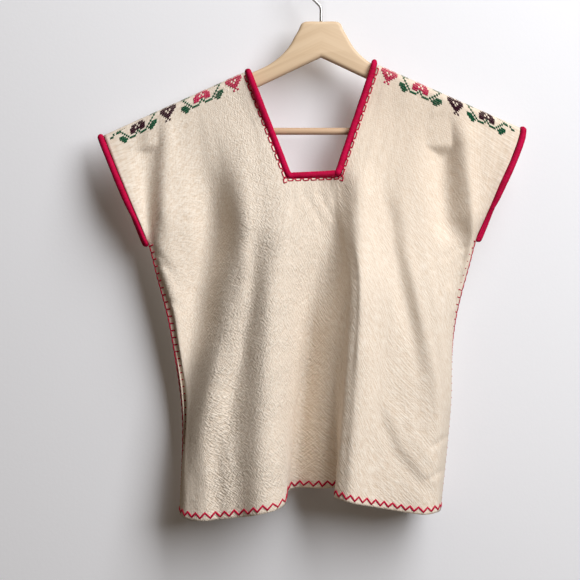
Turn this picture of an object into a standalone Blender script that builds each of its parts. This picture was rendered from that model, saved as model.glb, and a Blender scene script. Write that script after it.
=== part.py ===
"""Cross-stitch blouse hanging on a wooden clothes hanger.

The blouse is one straight length of cloth, folded over the shoulders, slit for the head and sewn
up at the sides. Front and back are thin shells on a grid whose columns follow the folds. The
origin is the inside top of the hanger's hook, +X is to the right, the front faces -Y, +Z is up.
"""

import math
from bisect import bisect_right
from collections import namedtuple

import bmesh
import bpy

MM = 0.001

# Cloth, in millimetres: its wall, the depth of the neck slit and armholes, the length from the
# shoulder fold to the hem, and how far down the chest and waist lines lie below the yoke line
CLOTH_WALL = 1.2
YOKE_DEPTH = 156.0
CLOTH_LENGTH = 575.0
CHEST_SHARE = 0.32
WAIST_SHARE = 0.64

# Front and back meet at the side seams and along the shoulder fold
SEAM_GAP = 0.3
SEAM_DEPTH = 0.5 * (CLOTH_WALL + SEAM_GAP)
FOLD_START = 0.36
COLUMNS_PER_FOLD = 3

# Shoulder folds: x and height near the neck, and the fall for each millimetre outward. The cloth
# wraps the hanger's arms with one radius and has a smaller one beyond their ends
SHOULDER_LEFT = (-96.0, -138.3, 0.4503)
SHOULDER_RIGHT = (70.7, -129.0, 0.445)
ARM_WRAP = 8.8
TIP_WRAP = 4.6
WRAP_FADE = (222.0, 250.0)
ARM_COVER = 42.0

# Underarms and neck corners: where the yoke line changes direction, as x and z
YOKE_LINE = ((-230.0, -368.0), (-46.0, -286.0), (25.0, -282.5), (206.0, -362.0))

# Armholes stand open between the shoulder and the underarm
ARMHOLE_GAPE = 9.0

# Bindings
NECK_BINDING_RADIUS = 4.2
ARM_BINDING_RADIUS = 4.2
BINDING_GAP = 0.8
LIFT_LEFT = 1.4
LIFT_RIGHT = 4.0
BINDING_SQUEEZE = 0.3

# Hanger
HANGER_THICKNESS = 12.0
HANGER_EDGE = 4.8
BAR_RADIUS = 4.7
BAR_HEIGHT = -219.6
BAR_SEAT = 184.0
WIRE_RADIUS = 1.9
HOOK_RADIUS = 23.0
HUMP_TOP = -73.7

# One row for each fold line: x on the shoulder fold, then x and depth on the yoke line, at the
# chest, at the waist and at the hem, and the height of the hem
Fold = namedtuple(
    "Fold",
    "name shoulder_x yoke_x yoke_d chest_x chest_d waist_x waist_d hem_x hem_d hem_z",
)

FRONT_FOLDS = (
    Fold("seam_left", -289, -230, 1, -199, 1, -183, 1, -187, 1, -725),
    Fold("sleeve_left", -260, -229, 3, -201, 3, -185, 4, -187, 6, -725),
    Fold("valley_0", -232, -225, 6, -199, 6, -184, 8, -187, 13, -725),
    Fold("ridge_0", -210, -207, 18, -196, 15, -183, 16, -186, 27, -726),
    Fold("valley_1", -166, -154, 12, -170, 12, -177, 25, -175, 46, -729),
    Fold("ridge_1", -140, -108, 28, -118, 38, -150, 46, -150, 60, -730),
    Fold("valley_2", -116, -76, 25, -92, 33, -106, 42, -109, 49, -725),
    Fold("neck_left", -102, -46, 24, -65, 38, -75, 48, -80, 54, -718),
    Fold("slope_left", -64, -30, 22, -39, 28, -50, 38, -49, 44, -711),
    Fold("valley_3", -44, -12, 21, -11, 15, -29, 7, -43, 3, -700),
    Fold("recess", -16, 0, 21, 5, 14, -4, 1, -12, -6, -696),
    Fold("recess_right", 2, 8, 22, 21, 20, 16, 6, 23, -4, -692),
    Fold("turn", 22, 14, 22, 31, 29, 26, 22, 23, 16, -692),
    Fold("lip", 44, 19, 23, 37, 38, 30, 37, 16, 34, -698),
    Fold("neck_right", 76, 25, 25, 44, 43, 37, 46, 25, 48, -700),
    Fold("ridge_3", 84, 39, 27, 52, 48, 46, 53, 38, 56, -703),
    Fold("slope_right", 94, 54, 25, 73, 42, 67, 48, 62, 51, -710),
    Fold("valley_5", 107, 70, 22, 89, 36, 86, 43, 104, 42, -719),
    Fold("valley_4", 122, 90, 19, 109, 31, 126, 37, 133, 41, -723),
    Fold("ridge_4", 144, 111, 22, 127, 36, 150, 35, 150, 31, -722),
    Fold("plain_right", 156, 148, 17, 147, 30, 160, 28, 155, 24, -721),
    Fold("valley_right", 168, 184, 10, 164, 22, 167, 20, 157, 17, -721),
    Fold("ridge_right", 192, 199, 15, 175, 11, 171, 11, 158, 10, -720),
    Fold("sleeve_right", 230, 205, 7, 177, 5, 170, 5, 157, 5, -720),
    Fold("seam_right", 264, 206, 1, 177, 1, 169, 1, 156, 1, -720),
)

BACK_FOLDS = (
    Fold("seam_left", -289, -230, 1, -199, 1, -183, 1, -187, 1, -725),
    Fold("side_left", -246, -216, 13, -192, 20, -178, 22, -180, 22, -722),
    Fold("ridge_1", -190, -166, 18, -156, 36, -150, 44, -150, 47, -716),
    Fold("valley_1", -142, -104, 12, -112, 20, -112, 22, -114, 20, -710),
    Fold("neck_left", -103, -47, 12, -76, 30, -80, 42, -82, 48, -703),
    Fold("valley_2", -50, -28, 12, -38, 24, -42, 24, -44, 20, -696),
    Fold("middle", -14, -10, 12, -10, 28, -12, 40, -14, 46, -692),
    Fold("valley_3", 28, 8, 12, 22, 22, 22, 22, 20, 20, -692),
    Fold("neck_right", 77, 26, 12, 54, 30, 54, 40, 52, 46, -697),
    Fold("valley_4", 120, 84, 13, 86, 20, 84, 22, 82, 22, -705),
    Fold("ridge_5", 168, 140, 18, 124, 34, 120, 42, 114, 44, -712),
    Fold("side_right", 220, 190, 13, 160, 18, 154, 20, 144, 20, -718),
    Fold("seam_right", 264, 206, 1, 177, 1, 169, 1, 156, 1, -720),
)

# Right half of the hanger's outline, as x and z
HANGER_TOP = (
    (0.0, -73.7), (20.0, -73.7), (26.0, -76.5), (30.0, -85.0), (35.0, -93.5), (41.0, -104.5),
    (47.0, -112.5), (55.0, -120.5), (64.0, -127.5), (76.0, -134.5), (160.0, -171.0), (209.0, -192.3),
)
HANGER_END = ((218.0, -197.0), (220.0, -206.0), (217.0, -220.0), (208.0, -230.0), (194.0, -232.5))
HANGER_UNDER = (
    (184.0, -229.0), (184.0, -209.5), (160.0, -197.0), (80.0, -159.0), (14.0, -127.4), (0.0, -124.5),
)


def clear_scene():
    """Remove every object, so the file can be run again."""
    for item in list(bpy.data.objects):
        bpy.data.objects.remove(item, do_unlink=True)


def smooth(knots, values, at):
    """Read a cubic curve through the values at the knots."""
    last = len(knots) - 1
    low = min(max(bisect_right(knots, at) - 1, 0), last - 1)
    high = low + 1
    span = knots[high] - knots[low]
    part = (at - knots[low]) / span
    slopes = []
    for knot in (low, high):
        before = max(knot - 1, 0)
        after = min(knot + 1, last)
        slopes.append((values[after] - values[before]) / (knots[after] - knots[before]))
    rest = 1.0 - part
    return (
        values[low] * rest * rest * (1.0 + 2.0 * part)
        + values[high] * part * part * (3.0 - 2.0 * part)
        + span * part * rest * (slopes[0] * rest - slopes[1] * part)
    )


def along_line(points, at):
    """Read a straight-sided line at x."""
    for (x_a, z_a), (x_b, z_b) in zip(points, points[1:]):
        if at <= x_b:
            break
    return z_a + (z_b - z_a) * (at - x_a) / (x_b - x_a)


def ease(low, high, at):
    """Rise softly from 0 at low to 1 at high."""
    part = min(max((at - low) / (high - low), 0.0), 1.0)
    return part * part * (3.0 - 2.0 * part)


class Panel:
    """One half of the folded cloth, hanging in front of or behind the hanger."""

    def __init__(self, folds, side):
        self.folds = folds
        self.side = side
        self.names = [fold.name for fold in folds]
        self.knots = list(range(len(folds)))
        self.levels = (
            0.0,
            YOKE_DEPTH,
            YOKE_DEPTH + CHEST_SHARE * (CLOTH_LENGTH - YOKE_DEPTH),
            YOKE_DEPTH + WAIST_SHARE * (CLOTH_LENGTH - YOKE_DEPTH),
            CLOTH_LENGTH,
        )

    def read(self, column, across):
        """Read one column of the fold table between its rows."""
        return smooth(self.knots, [getattr(fold, column) for fold in self.folds], across)

    def neck_columns(self):
        """Give the places of the two fold lines that end the neck slit."""
        return self.names.index("neck_left"), self.names.index("neck_right")

    def wrap(self, x):
        """Give the radius of the bend over the shoulder."""
        return ARM_WRAP + (TIP_WRAP - ARM_WRAP) * ease(*WRAP_FADE, abs(x))

    def shoulder_height(self, x):
        """Give the height of the shoulder fold."""
        start, height, fall = SHOULDER_LEFT if x < 0.0 else SHOULDER_RIGHT
        return height - fall * (abs(x) - abs(start))

    def edge_share(self, across):
        """Give 0 on a cut edge of the yoke and 1 inside it."""
        neck_left, neck_right = self.neck_columns()
        reach = min(abs(across - edge) for edge in (0, neck_left, neck_right, self.knots[-1]))
        return ease(0.0, 1.6, reach)

    def gape(self, across, share):
        """Give the extra opening of the armholes."""
        reach = min(across, self.knots[-1] - across)
        return ARMHOLE_GAPE * math.sin(math.pi * share) * (1.0 - ease(0.0, 2.0, reach))

    def point(self, across, down):
        """Give a point of the cloth, in millimetres.

        across counts fold lines from the left seam, down is the way along the cloth from the
        shoulder fold.
        """
        names = ("yoke", "chest", "waist", "hem")
        xs = [self.read("shoulder_x", across)]
        xs += [self.read(name + "_x", across) for name in names]
        wrap = self.wrap(xs[0])
        depths = [wrap]
        depths += [self.read(name + "_d", across) for name in names]
        yoke_z = along_line(YOKE_LINE, xs[1])
        if down >= YOKE_DEPTH:
            x = smooth(self.levels, xs, down)
            depth = smooth(self.levels, depths, down)
            share = (down - YOKE_DEPTH) / (CLOTH_LENGTH - YOKE_DEPTH)
            z = yoke_z + (self.read("hem_z", across) - yoke_z) * share
        else:
            x, depth, z = self.yoke_point(across, down, xs, depths, yoke_z)
        return x, self.side * depth, z

    def yoke_point(self, across, down, xs, depths, yoke_z):
        """Give x, depth and z between the shoulder fold and the yoke line."""
        wrap = depths[0]
        quarter = 0.5 * math.pi * wrap
        turn = min(down / wrap, 0.5 * math.pi)
        drop = wrap * (1.0 - math.cos(turn)) + max(down - quarter, 0.0)
        share = drop / (wrap + YOKE_DEPTH - quarter)
        reach = self.levels[2]
        bend = self.edge_share(across) * share * share * (share - 1.0)
        x_slope = (xs[2] - xs[0]) / reach * YOKE_DEPTH
        x = xs[0] + (xs[1] - xs[0]) * share + bend * (x_slope - (xs[1] - xs[0]))
        if down <= ARM_COVER:
            depth = wrap * math.sin(turn)
        else:
            part = (down - ARM_COVER) / (YOKE_DEPTH - ARM_COVER)
            depth_slope = (depths[2] - depths[0]) / reach * (YOKE_DEPTH - ARM_COVER)
            depth = wrap + (depths[1] - wrap) * part * part * (3.0 - 2.0 * part)
            depth += depth_slope * part * part * (part - 1.0)
        depth += self.gape(across, share)
        top = self.shoulder_height(xs[0])
        return x, max(depth, FOLD_START), top + (yoke_z - top) * share


def row_places():
    """Give the way down the cloth to each row of the grid."""
    bend = [ARM_WRAP * 0.5 * math.pi * step / 3.0 for step in range(4)]
    yoke = [26.0, ARM_COVER, 70.0, 98.0, 126.0, YOKE_DEPTH]
    body = [YOKE_DEPTH + (CLOTH_LENGTH - YOKE_DEPTH) * step / 12.0 for step in range(1, 13)]
    return bend + yoke + body


def panel_mesh(panel, name):
    """Shape a flat grid into the hanging cloth and cut the neck slit out of it."""
    rows = row_places()
    columns = panel.knots[-1] * COLUMNS_PER_FOLD
    yoke_row = rows.index(YOKE_DEPTH)
    grid = bmesh.new()
    bmesh.ops.create_grid(grid, x_segments=columns, y_segments=len(rows) - 1, size=1.0)
    places = {}
    for vert in grid.verts:
        column = round((vert.co.x + 1.0) * 0.5 * columns)
        row = round((1.0 - vert.co.y) * 0.5 * (len(rows) - 1))
        places[vert] = (column, row)
    neck_left, neck_right = (at * COLUMNS_PER_FOLD for at in panel.neck_columns())
    slit = []
    for face in grid.faces:
        face_columns = [places[vert][0] for vert in face.verts]
        face_rows = [places[vert][1] for vert in face.verts]
        between_edges = min(face_columns) >= neck_left and max(face_columns) <= neck_right
        if between_edges and max(face_rows) <= yoke_row:
            slit.append(face)
    for vert, (column, row) in places.items():
        x, y, z = panel.point(column / COLUMNS_PER_FOLD, rows[row])
        if column in (0, columns) and row >= yoke_row:
            y = panel.side * SEAM_DEPTH
        vert.co = (x * MM, y * MM, z * MM)
    bmesh.ops.delete(grid, geom=slit, context="FACES")
    mesh = bpy.data.meshes.new(name)
    grid.to_mesh(mesh)
    grid.free()
    mesh.shade_smooth()
    return mesh


def paint(item, colour, roughness, metallic=0.0):
    """Give an object a material of its own."""
    material = bpy.data.materials.new(item.name + "_finish")
    material.use_nodes = True
    shader = material.node_tree.nodes["Principled BSDF"]
    shader.inputs["Base Color"].default_value = (*colour, 1.0)
    shader.inputs["Roughness"].default_value = roughness
    shader.inputs["Metallic"].default_value = metallic
    material.diffuse_color = (*colour, 1.0)
    item.data.materials.append(material)


def add_object(name, data, home, parent):
    """Put an object into the blouse's collection, under its parent."""
    item = bpy.data.objects.new(name, data)
    home.objects.link(item)
    item.parent = parent
    return item


def cloth(panel, name, home, parent):
    """Build one half of the cloth as a thin closed shell."""
    item = add_object(name, panel_mesh(panel, name), home, parent)
    shell = item.modifiers.new("wall", "SOLIDIFY")
    shell.thickness = CLOTH_WALL * MM
    shell.offset = 0.0
    return item


def wire_curve(name, points, radius, closed, sides):
    """Make a round tube along points given in millimetres, each with its share of the radius."""
    curve = bpy.data.curves.new(name, "CURVE")
    curve.dimensions = "3D"
    curve.bevel_depth = radius * MM
    curve.bevel_resolution = sides
    curve.use_fill_caps = not closed
    spline = curve.splines.new("POLY")
    spline.points.add(len(points) - 1)
    for knot, (x, y, z, share) in zip(spline.points, points):
        knot.co = (x * MM, y * MM, z * MM, 1.0)
        knot.radius = share
    spline.use_cyclic_u = closed
    return curve


def between(start, end, steps):
    """Give evenly spaced places from start to end."""
    return [start + (end - start) * step / steps for step in range(steps + 1)]


def neck_path(front, back):
    """Follow the neck's cut edge, down one panel, up again and over both shoulders."""
    loop = []
    offset = NECK_BINDING_RADIUS + BINDING_GAP
    lift = NECK_BINDING_RADIUS - 0.5 * CLOTH_WALL + 0.2
    rises = {1.0: LIFT_LEFT, -1.0: LIFT_RIGHT}
    downs = [4.0, 8.0, 12.0, 16.0, 26.0, 42.0, 70.0, 98.0, 126.0, 146.0]
    for panel in (front, back):
        left, right = panel.neck_columns()
        slit = [(left, down, 1.0, 0.0) for down in downs]
        slit += [(left + 0.12, YOKE_DEPTH, 0.6, 0.95)]
        slit += [(across, YOKE_DEPTH, 0.0, 1.0) for across in between(left + 0.6, right - 0.6, 8)]
        slit += [(right - 0.12, YOKE_DEPTH, -0.6, 0.95)]
        slit += [(right, down, -1.0, 0.0) for down in downs[::-1]]
        slit += [(right, 0.0, -1.0, 0.0)]
        if panel is back:
            slit = [(left, 0.0, 1.0, 0.0)] + slit[:-1]
            slit.reverse()
        for across, down, inward, upward in slit:
            x, y, z = panel.point(across, down)
            turn = min(down / ARM_WRAP, 0.5 * math.pi)
            clear = lift * math.sin(turn) * (1.0 - ease(ARM_COVER, 90.0, down))
            y = panel.side * clear + (y if down > 0.0 else 0.0)
            rise = rises.get(inward, 0.0) * math.cos(turn)
            share = 1.0 - BINDING_SQUEEZE * math.cos(turn)
            loop.append((x + inward * offset, y, z + upward * offset + rise, share))
    return loop


def armhole_path(front, back, right):
    """Follow an armhole's cut edge from the shoulder to the underarm and back up."""
    outward = 1.0 if right else -1.0
    offset = ARM_BINDING_RADIUS + BINDING_GAP
    least = ARM_BINDING_RADIUS + 0.5 * SEAM_GAP
    downs = [4.0, 8.0, 14.0, 26.0, 42.0, 60.0, 80.0, 100.0, 120.0, 138.0, 150.0]
    loop = []
    for panel, order in ((front, downs + [YOKE_DEPTH]), (back, [YOKE_DEPTH] + downs[::-1] + [0.0])):
        edge = panel.knots[-1] if right else 0
        for down in order:
            x, y, z = panel.point(edge, down)
            depth = max(abs(y), least)
            if down == YOKE_DEPTH:
                depth = 0.7 * least
                z += 0.2 * offset
            if down == 0.0:
                depth = 0.0
            loop.append((x + 0.92 * outward * offset, panel.side * depth, z - 0.4 * offset, 1.0))
    return loop


def hook_path():
    """Follow the hook's wire from the hump up, over the hanging point and down."""
    centre = WIRE_RADIUS - HOOK_RADIUS
    start = math.radians(225.0)
    foot = (HOOK_RADIUS * math.cos(start), centre + HOOK_RADIUS * math.sin(start))
    knee = foot[1] + foot[0]
    points = [(0.0, 0.0, HUMP_TOP + SEAM_GAP, 1.0), (0.0, 0.0, knee - 3.0, 1.0)]
    points += [(-1.0, 0.0, knee + 0.3, 1.0), (-3.4, 0.0, knee + 3.2, 1.0)]
    turn = 250.0
    steps = 30
    for step in range(steps + 1):
        angle = start - math.radians(turn) * step / steps
        x = HOOK_RADIUS * math.cos(angle)
        points.append((x, 0.0, centre + HOOK_RADIUS * math.sin(angle), 1.0))
    return points


def hanger_outline():
    """Give the closed outline of the arms and hump."""
    half = list(HANGER_TOP + HANGER_END + HANGER_UNDER)
    mirrored = [(-x, z) for x, z in half[-2:0:-1]]
    return half + mirrored


def hanger_body(home, parent):
    """Cut the arms and hump from a board and round their edges."""
    curve = bpy.data.curves.new("hanger_body", "CURVE")
    curve.dimensions = "2D"
    curve.fill_mode = "BOTH"
    curve.extrude = 0.5 * HANGER_THICKNESS * MM
    spline = curve.splines.new("POLY")
    outline = hanger_outline()
    spline.points.add(len(outline) - 1)
    for knot, (x, z) in zip(spline.points, outline):
        knot.co = (x * MM, z * MM, 0.0, 1.0)
    spline.use_cyclic_u = True
    flat = add_object("hanger_outline", curve, home, parent)
    flat.rotation_euler = (math.radians(90.0), 0.0, 0.0)
    bpy.context.view_layer.update()
    shape = flat.evaluated_get(bpy.context.evaluated_depsgraph_get())
    mesh = bpy.data.meshes.new_from_object(shape)
    body = bmesh.new()
    body.from_mesh(mesh)
    bmesh.ops.remove_doubles(body, verts=body.verts, dist=0.00001)
    body.to_mesh(mesh)
    body.free()
    item = add_object("hanger_body", mesh, home, parent)
    item.matrix_world = flat.matrix_world.copy()
    bpy.data.objects.remove(flat, do_unlink=True)
    edge = item.modifiers.new("edge", "BEVEL")
    edge.width = HANGER_EDGE * MM
    edge.segments = 2
    edge.use_clamp_overlap = False
    edge.limit_method = "ANGLE"
    edge.angle_limit = math.radians(60.0)
    return item


def hanger_bar(home, parent):
    """Turn the round bar between the two arm ends."""
    bpy.ops.mesh.primitive_cylinder_add(
        vertices=20,
        radius=BAR_RADIUS * MM,
        depth=2.0 * (BAR_SEAT - SEAM_GAP) * MM,
        location=(0.0, 0.0, BAR_HEIGHT * MM),
        rotation=(0.0, math.radians(90.0), 0.0),
    )
    item = bpy.context.object
    item.name = "hanger_bar"
    for other in item.users_collection:
        other.objects.unlink(item)
    home.objects.link(item)
    item.parent = parent
    return item


def build():
    """Build the blouse and its hanger."""
    clear_scene()
    home = bpy.data.collections.new("cross_stitch_blouse")
    bpy.context.scene.collection.children.link(home)
    parent = bpy.data.objects.new("blouse_on_hanger", None)
    home.objects.link(parent)

    front = Panel(FRONT_FOLDS, -1.0)
    back = Panel(BACK_FOLDS, 1.0)
    cream = (0.80, 0.70, 0.56)
    crimson = (0.45, 0.01, 0.06)
    wood = (0.74, 0.56, 0.38)
    paint(cloth(front, "front", home, parent), cream, 0.95)
    paint(cloth(back, "back", home, parent), cream, 0.95)

    neck = wire_curve("neck_binding", neck_path(front, back), NECK_BINDING_RADIUS, True, 2)
    paint(add_object("neck_binding", neck, home, parent), crimson, 0.75)
    for name, right in (("armhole_binding_left", False), ("armhole_binding_right", True)):
        tube = wire_curve(name, armhole_path(front, back, right), ARM_BINDING_RADIUS, True, 2)
        paint(add_object(name, tube, home, parent), crimson, 0.75)

    paint(hanger_body(home, parent), wood, 0.55)
    paint(hanger_bar(home, parent), wood, 0.55)
    hook = wire_curve("hook", hook_path(), WIRE_RADIUS, False, 2)
    paint(add_object("hook", hook, home, parent), (0.60, 0.60, 0.61), 0.30, 1.0)


build()
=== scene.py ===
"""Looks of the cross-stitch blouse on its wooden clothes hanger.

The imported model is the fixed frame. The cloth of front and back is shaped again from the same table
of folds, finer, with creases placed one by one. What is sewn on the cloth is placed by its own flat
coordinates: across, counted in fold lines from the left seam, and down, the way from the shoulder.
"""

import logging
import math
from dataclasses import dataclass
from enum import Enum
from typing import Callable, NamedTuple, Sequence, Union

import bmesh
import bpy
import numpy as np
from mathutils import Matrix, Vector, noise

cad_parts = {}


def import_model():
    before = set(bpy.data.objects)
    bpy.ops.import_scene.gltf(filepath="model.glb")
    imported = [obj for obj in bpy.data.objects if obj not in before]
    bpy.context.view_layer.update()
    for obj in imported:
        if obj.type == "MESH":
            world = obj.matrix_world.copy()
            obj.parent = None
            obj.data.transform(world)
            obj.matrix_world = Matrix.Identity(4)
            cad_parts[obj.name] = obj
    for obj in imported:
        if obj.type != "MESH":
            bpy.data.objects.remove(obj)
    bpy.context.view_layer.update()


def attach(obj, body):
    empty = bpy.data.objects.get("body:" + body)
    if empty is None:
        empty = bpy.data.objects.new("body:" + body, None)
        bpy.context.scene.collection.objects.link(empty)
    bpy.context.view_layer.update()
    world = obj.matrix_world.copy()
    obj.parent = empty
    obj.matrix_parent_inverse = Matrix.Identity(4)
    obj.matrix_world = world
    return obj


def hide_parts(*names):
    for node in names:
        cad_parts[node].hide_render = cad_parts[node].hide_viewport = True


LOG = logging.getLogger("blouse")
MM = 0.001
QUARTER_TURN = 0.5 * math.pi
Colour = tuple[float, float, float]
Place = tuple[float, float, float]
Value = Union[bpy.types.NodeSocket, float]
Rows = Union[np.ndarray, Sequence[float]]


class Fold(NamedTuple):
    """One fold line in mm: x on the shoulder, x and depth at four levels, and the hem's height."""

    shoulder_x: float
    yoke_x: float
    yoke_d: float
    chest_x: float
    chest_d: float
    waist_x: float
    waist_d: float
    hem_x: float
    hem_d: float
    hem_z: float


class Crease(NamedTuple):
    """A soft ridge or trough: its line down as x and z, its half width and its height, in mm.

    A crease with a step lies low on the left of its line and high on the right.
    """

    line: tuple[tuple[float, float], ...]
    width: float
    height: float
    step: bool = False


class Thread(Enum):
    """The threads of the embroidery, by their letter in the chart."""

    ROSE = "R"
    PLUM = "P"
    GREEN = "G"


FRONT_FOLDS = (
    Fold(-289, -230, 1, -199, 1, -183, 1, -187, 1, -725),
    Fold(-260, -229, 3, -201, 3, -185, 4, -187, 6, -725),
    Fold(-232, -225, 6, -199, 6, -184, 8, -187, 13, -725),
    Fold(-210, -207, 18, -196, 15, -183, 16, -186, 27, -726),
    Fold(-166, -154, 12, -170, 12, -177, 25, -175, 46, -729),
    Fold(-140, -108, 28, -118, 38, -150, 46, -150, 60, -730),
    Fold(-116, -76, 25, -92, 33, -106, 42, -109, 49, -725),
    Fold(-102, -46, 24, -65, 38, -75, 48, -80, 54, -718),
    Fold(-64, -30, 22, -39, 28, -50, 38, -49, 44, -711),
    Fold(-44, -12, 21, -11, 15, -29, 7, -43, 3, -700),
    Fold(-16, 0, 21, 5, 14, -4, 1, -12, -6, -696),
    Fold(2, 8, 22, 21, 20, 16, 6, 23, -4, -692),
    Fold(22, 14, 22, 31, 29, 26, 22, 23, 16, -692),
    Fold(44, 19, 23, 37, 38, 30, 37, 16, 34, -698),
    Fold(76, 25, 25, 44, 43, 37, 46, 25, 48, -700),
    Fold(84, 39, 27, 52, 48, 46, 53, 38, 56, -703),
    Fold(94, 54, 25, 73, 42, 67, 48, 62, 51, -710),
    Fold(107, 70, 22, 89, 36, 86, 43, 104, 42, -719),
    Fold(122, 90, 19, 109, 31, 126, 37, 133, 41, -723),
    Fold(144, 111, 22, 127, 36, 150, 35, 150, 31, -722),
    Fold(156, 148, 17, 147, 30, 160, 28, 155, 24, -721),
    Fold(168, 184, 10, 164, 22, 167, 20, 157, 17, -721),
    Fold(192, 199, 15, 175, 11, 171, 11, 158, 10, -720),
    Fold(230, 205, 7, 177, 5, 170, 5, 157, 5, -720),
    Fold(264, 206, 1, 177, 1, 169, 1, 156, 1, -720),
)

BACK_FOLDS = (
    Fold(-289, -230, 1, -199, 1, -183, 1, -187, 1, -725),
    Fold(-246, -216, 13, -192, 20, -178, 22, -180, 22, -722),
    Fold(-190, -166, 18, -156, 36, -150, 44, -150, 47, -716),
    Fold(-142, -104, 12, -112, 20, -112, 22, -114, 20, -710),
    Fold(-103, -47, 12, -76, 30, -80, 42, -82, 48, -703),
    Fold(-50, -28, 12, -38, 24, -42, 24, -44, 20, -696),
    Fold(-14, -10, 12, -10, 28, -12, 40, -14, 46, -692),
    Fold(28, 8, 12, 22, 22, 22, 22, 20, 20, -692),
    Fold(77, 26, 12, 54, 30, 54, 40, 52, 46, -697),
    Fold(120, 84, 13, 86, 20, 84, 22, 82, 22, -705),
    Fold(168, 140, 18, 124, 34, 120, 42, 114, 44, -712),
    Fold(220, 190, 13, 160, 18, 154, 20, 144, 20, -718),
    Fold(264, 206, 1, 177, 1, 169, 1, 156, 1, -720),
)

FRONT_CREASES = (
    # Turn of the cloth beside the left armhole
    Crease(((-212, -190), (-215, -235), (-217, -290), (-216, -330), (-212, -372)), 11, 5.0,
            True),
    # Ridge below the left shoulder
    Crease(((-190, -229), (-182, -300), (-172, -366), (-160, -431), (-163, -483)), 11, 2.2),
    # Long left fold
    Crease(((-132, -235), (-127, -290), (-121, -347), (-126, -379), (-138, -412), (-143, -444),
            (-145, -477), (-151, -509), (-155, -542), (-160, -575), (-168, -620), (-178, -700)),
            17, 9.5, True),
    # Broad turn of the left body
    Crease(((-102, -200), (-99, -330), (-102, -520), (-110, -640), (-114, -900)), 38, 14.0,
            True),
    # Fall to the right of the long left fold
    Crease(((-92, -340), (-93, -412), (-96, -450), (-106, -490), (-109, -525), (-121, -560),
            (-129, -610), (-140, -670)), 8, -2.2, True),
    # Middle left fold
    Crease(((-57, -290), (-61, -347), (-60, -412), (-62, -444), (-71, -477), (-74, -509),
            (-72, -542), (-81, -574), (-86, -620), (-88, -672), (-92, -860)), 18, 0.9, True),
    # Bright middle ridge
    Crease(((-28, -307), (-31, -366), (-37, -444), (-40, -510), (-44, -575), (-54, -627),
            (-62, -706), (-62, -860)), 10, 2.6),
    # Turn under the neck's right corner
    Crease(((37, -255), (37, -300), (36, -347), (35, -395), (31, -440), (26, -490)), 16, 8.8,
            True),
    # Foot of the deep middle fold
    Crease(((14, -360), (11, -412), (7, -444), (4, -477), (1, -509), (-2, -542), (-4, -574),
            (-6, -607), (-7, -640), (-7, -680), (-6, -900)), 25, 17.0, True),
    # Soft lead into the deep middle fold
    Crease(((-3, -450), (-6, -509), (-11, -542), (-14, -574), (-18, -607), (-21, -640),
            (-24, -680), (-27, -900)), 15, 6.0, True),
    # Edge of the deep middle fold
    Crease(((54, -420), (57, -500), (55, -580), (48, -640), (42, -700), (40, -860)), 16, 5.0),
    # Low left fold
    Crease(((-131, -585), (-131, -640), (-129, -680), (-128, -800)), 7, 1.8, True),
    # Long right fold
    Crease(((84, -250), (92, -314), (102, -347), (102, -379), (106, -412), (113, -444),
            (125, -477), (131, -509), (139, -542), (147, -585)), 8, 1.0, True),
    # Long right ridge
    Crease(((134, -346), (142, -418), (155, -490), (166, -555), (170, -601)), 8, 1.4),
    # Low right fold
    Crease(((76, -560), (87, -607), (101, -639), (127, -672), (158, -700)), 8, 1.7, True),
    # Low right ridge
    Crease(((105, -581), (118, -621), (139, -651), (160, -664)), 7.5, 1.4),
    # Turn of the cloth beside the right armhole
    Crease(((172, -190), (175, -240), (176, -290), (179, -335), (189, -382)), 16, 9.5, True),
    # Underarm crease high
    Crease(((198, -371), (178, -379), (155, -395)), 4.2, -1.6),
    # Underarm crease middle
    Crease(((197, -379), (178, -402), (164, -434)), 4.5, -2.2),
    # Underarm crease low
    Crease(((189, -402), (178, -428), (173, -460)), 4.0, -1.8),
    # Right edge crumple
    Crease(((173, -622), (157, -627), (139, -639)), 4.0, -1.5),
    # Right edge crumple low
    Crease(((163, -666), (149, -672), (131, -682)), 4.0, -1.4),
    # Left edge crumple
    Crease(((-222, -395), (-207, -400), (-192, -412)), 3.6, -1.2),
    # Left edge crumple low
    Crease(((-206, -444), (-193, -449), (-180, -464)), 3.6, -1.3),
    # Left underarm crease
    Crease(((-224, -374), (-206, -395), (-182, -439)), 4.5, -1.8),
    # Crease below the neck
    Crease(((-28, -295), (-13, -320), (6, -355)), 4.5, -1.1),
    # Second crease below the neck
    Crease(((-7, -295), (6, -319), (21, -347)), 4.0, -1.0),
)

BACK_CREASES = (
    # Valleys by both armholes
    Crease(((-206, -215), (-204, -270), (-196, -330), (-180, -385)), 8.0, -3.0),
    Crease(((176, -215), (178, -265), (176, -325), (166, -385)), 8.0, -3.0),
    # Long soft ridges and valleys between the neck and the hem
    Crease(((-150, -240), (-132, -330), (-120, -430), (-122, -540)), 10.0, 2.4),
    Crease(((-84, -330), (-92, -420), (-98, -520), (-96, -640)), 9.0, -2.6),
    Crease(((-30, -310), (-36, -400), (-44, -500), (-40, -620)), 9.0, 2.0),
    Crease(((4, -320), (2, -430), (6, -540), (2, -650)), 10.0, -2.6),
    Crease(((50, -300), (60, -400), (66, -520), (60, -640)), 9.0, 2.2),
    Crease(((96, -330), (104, -430), (108, -540), (100, -640)), 9.0, -2.4),
    Crease(((140, -260), (132, -350), (136, -450), (140, -560)), 9.0, 2.2),
    # Creases from the underarms and above the hem
    Crease(((-216, -378), (-196, -398), (-170, -430)), 4.6, -1.8),
    Crease(((196, -376), (178, -396), (158, -428)), 4.6, -1.9),
    Crease(((120, -600), (136, -640), (150, -676)), 7.0, -2.2),
    Crease(((-168, -590), (-150, -640), (-140, -690)), 7.5, -2.2),
)

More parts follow.
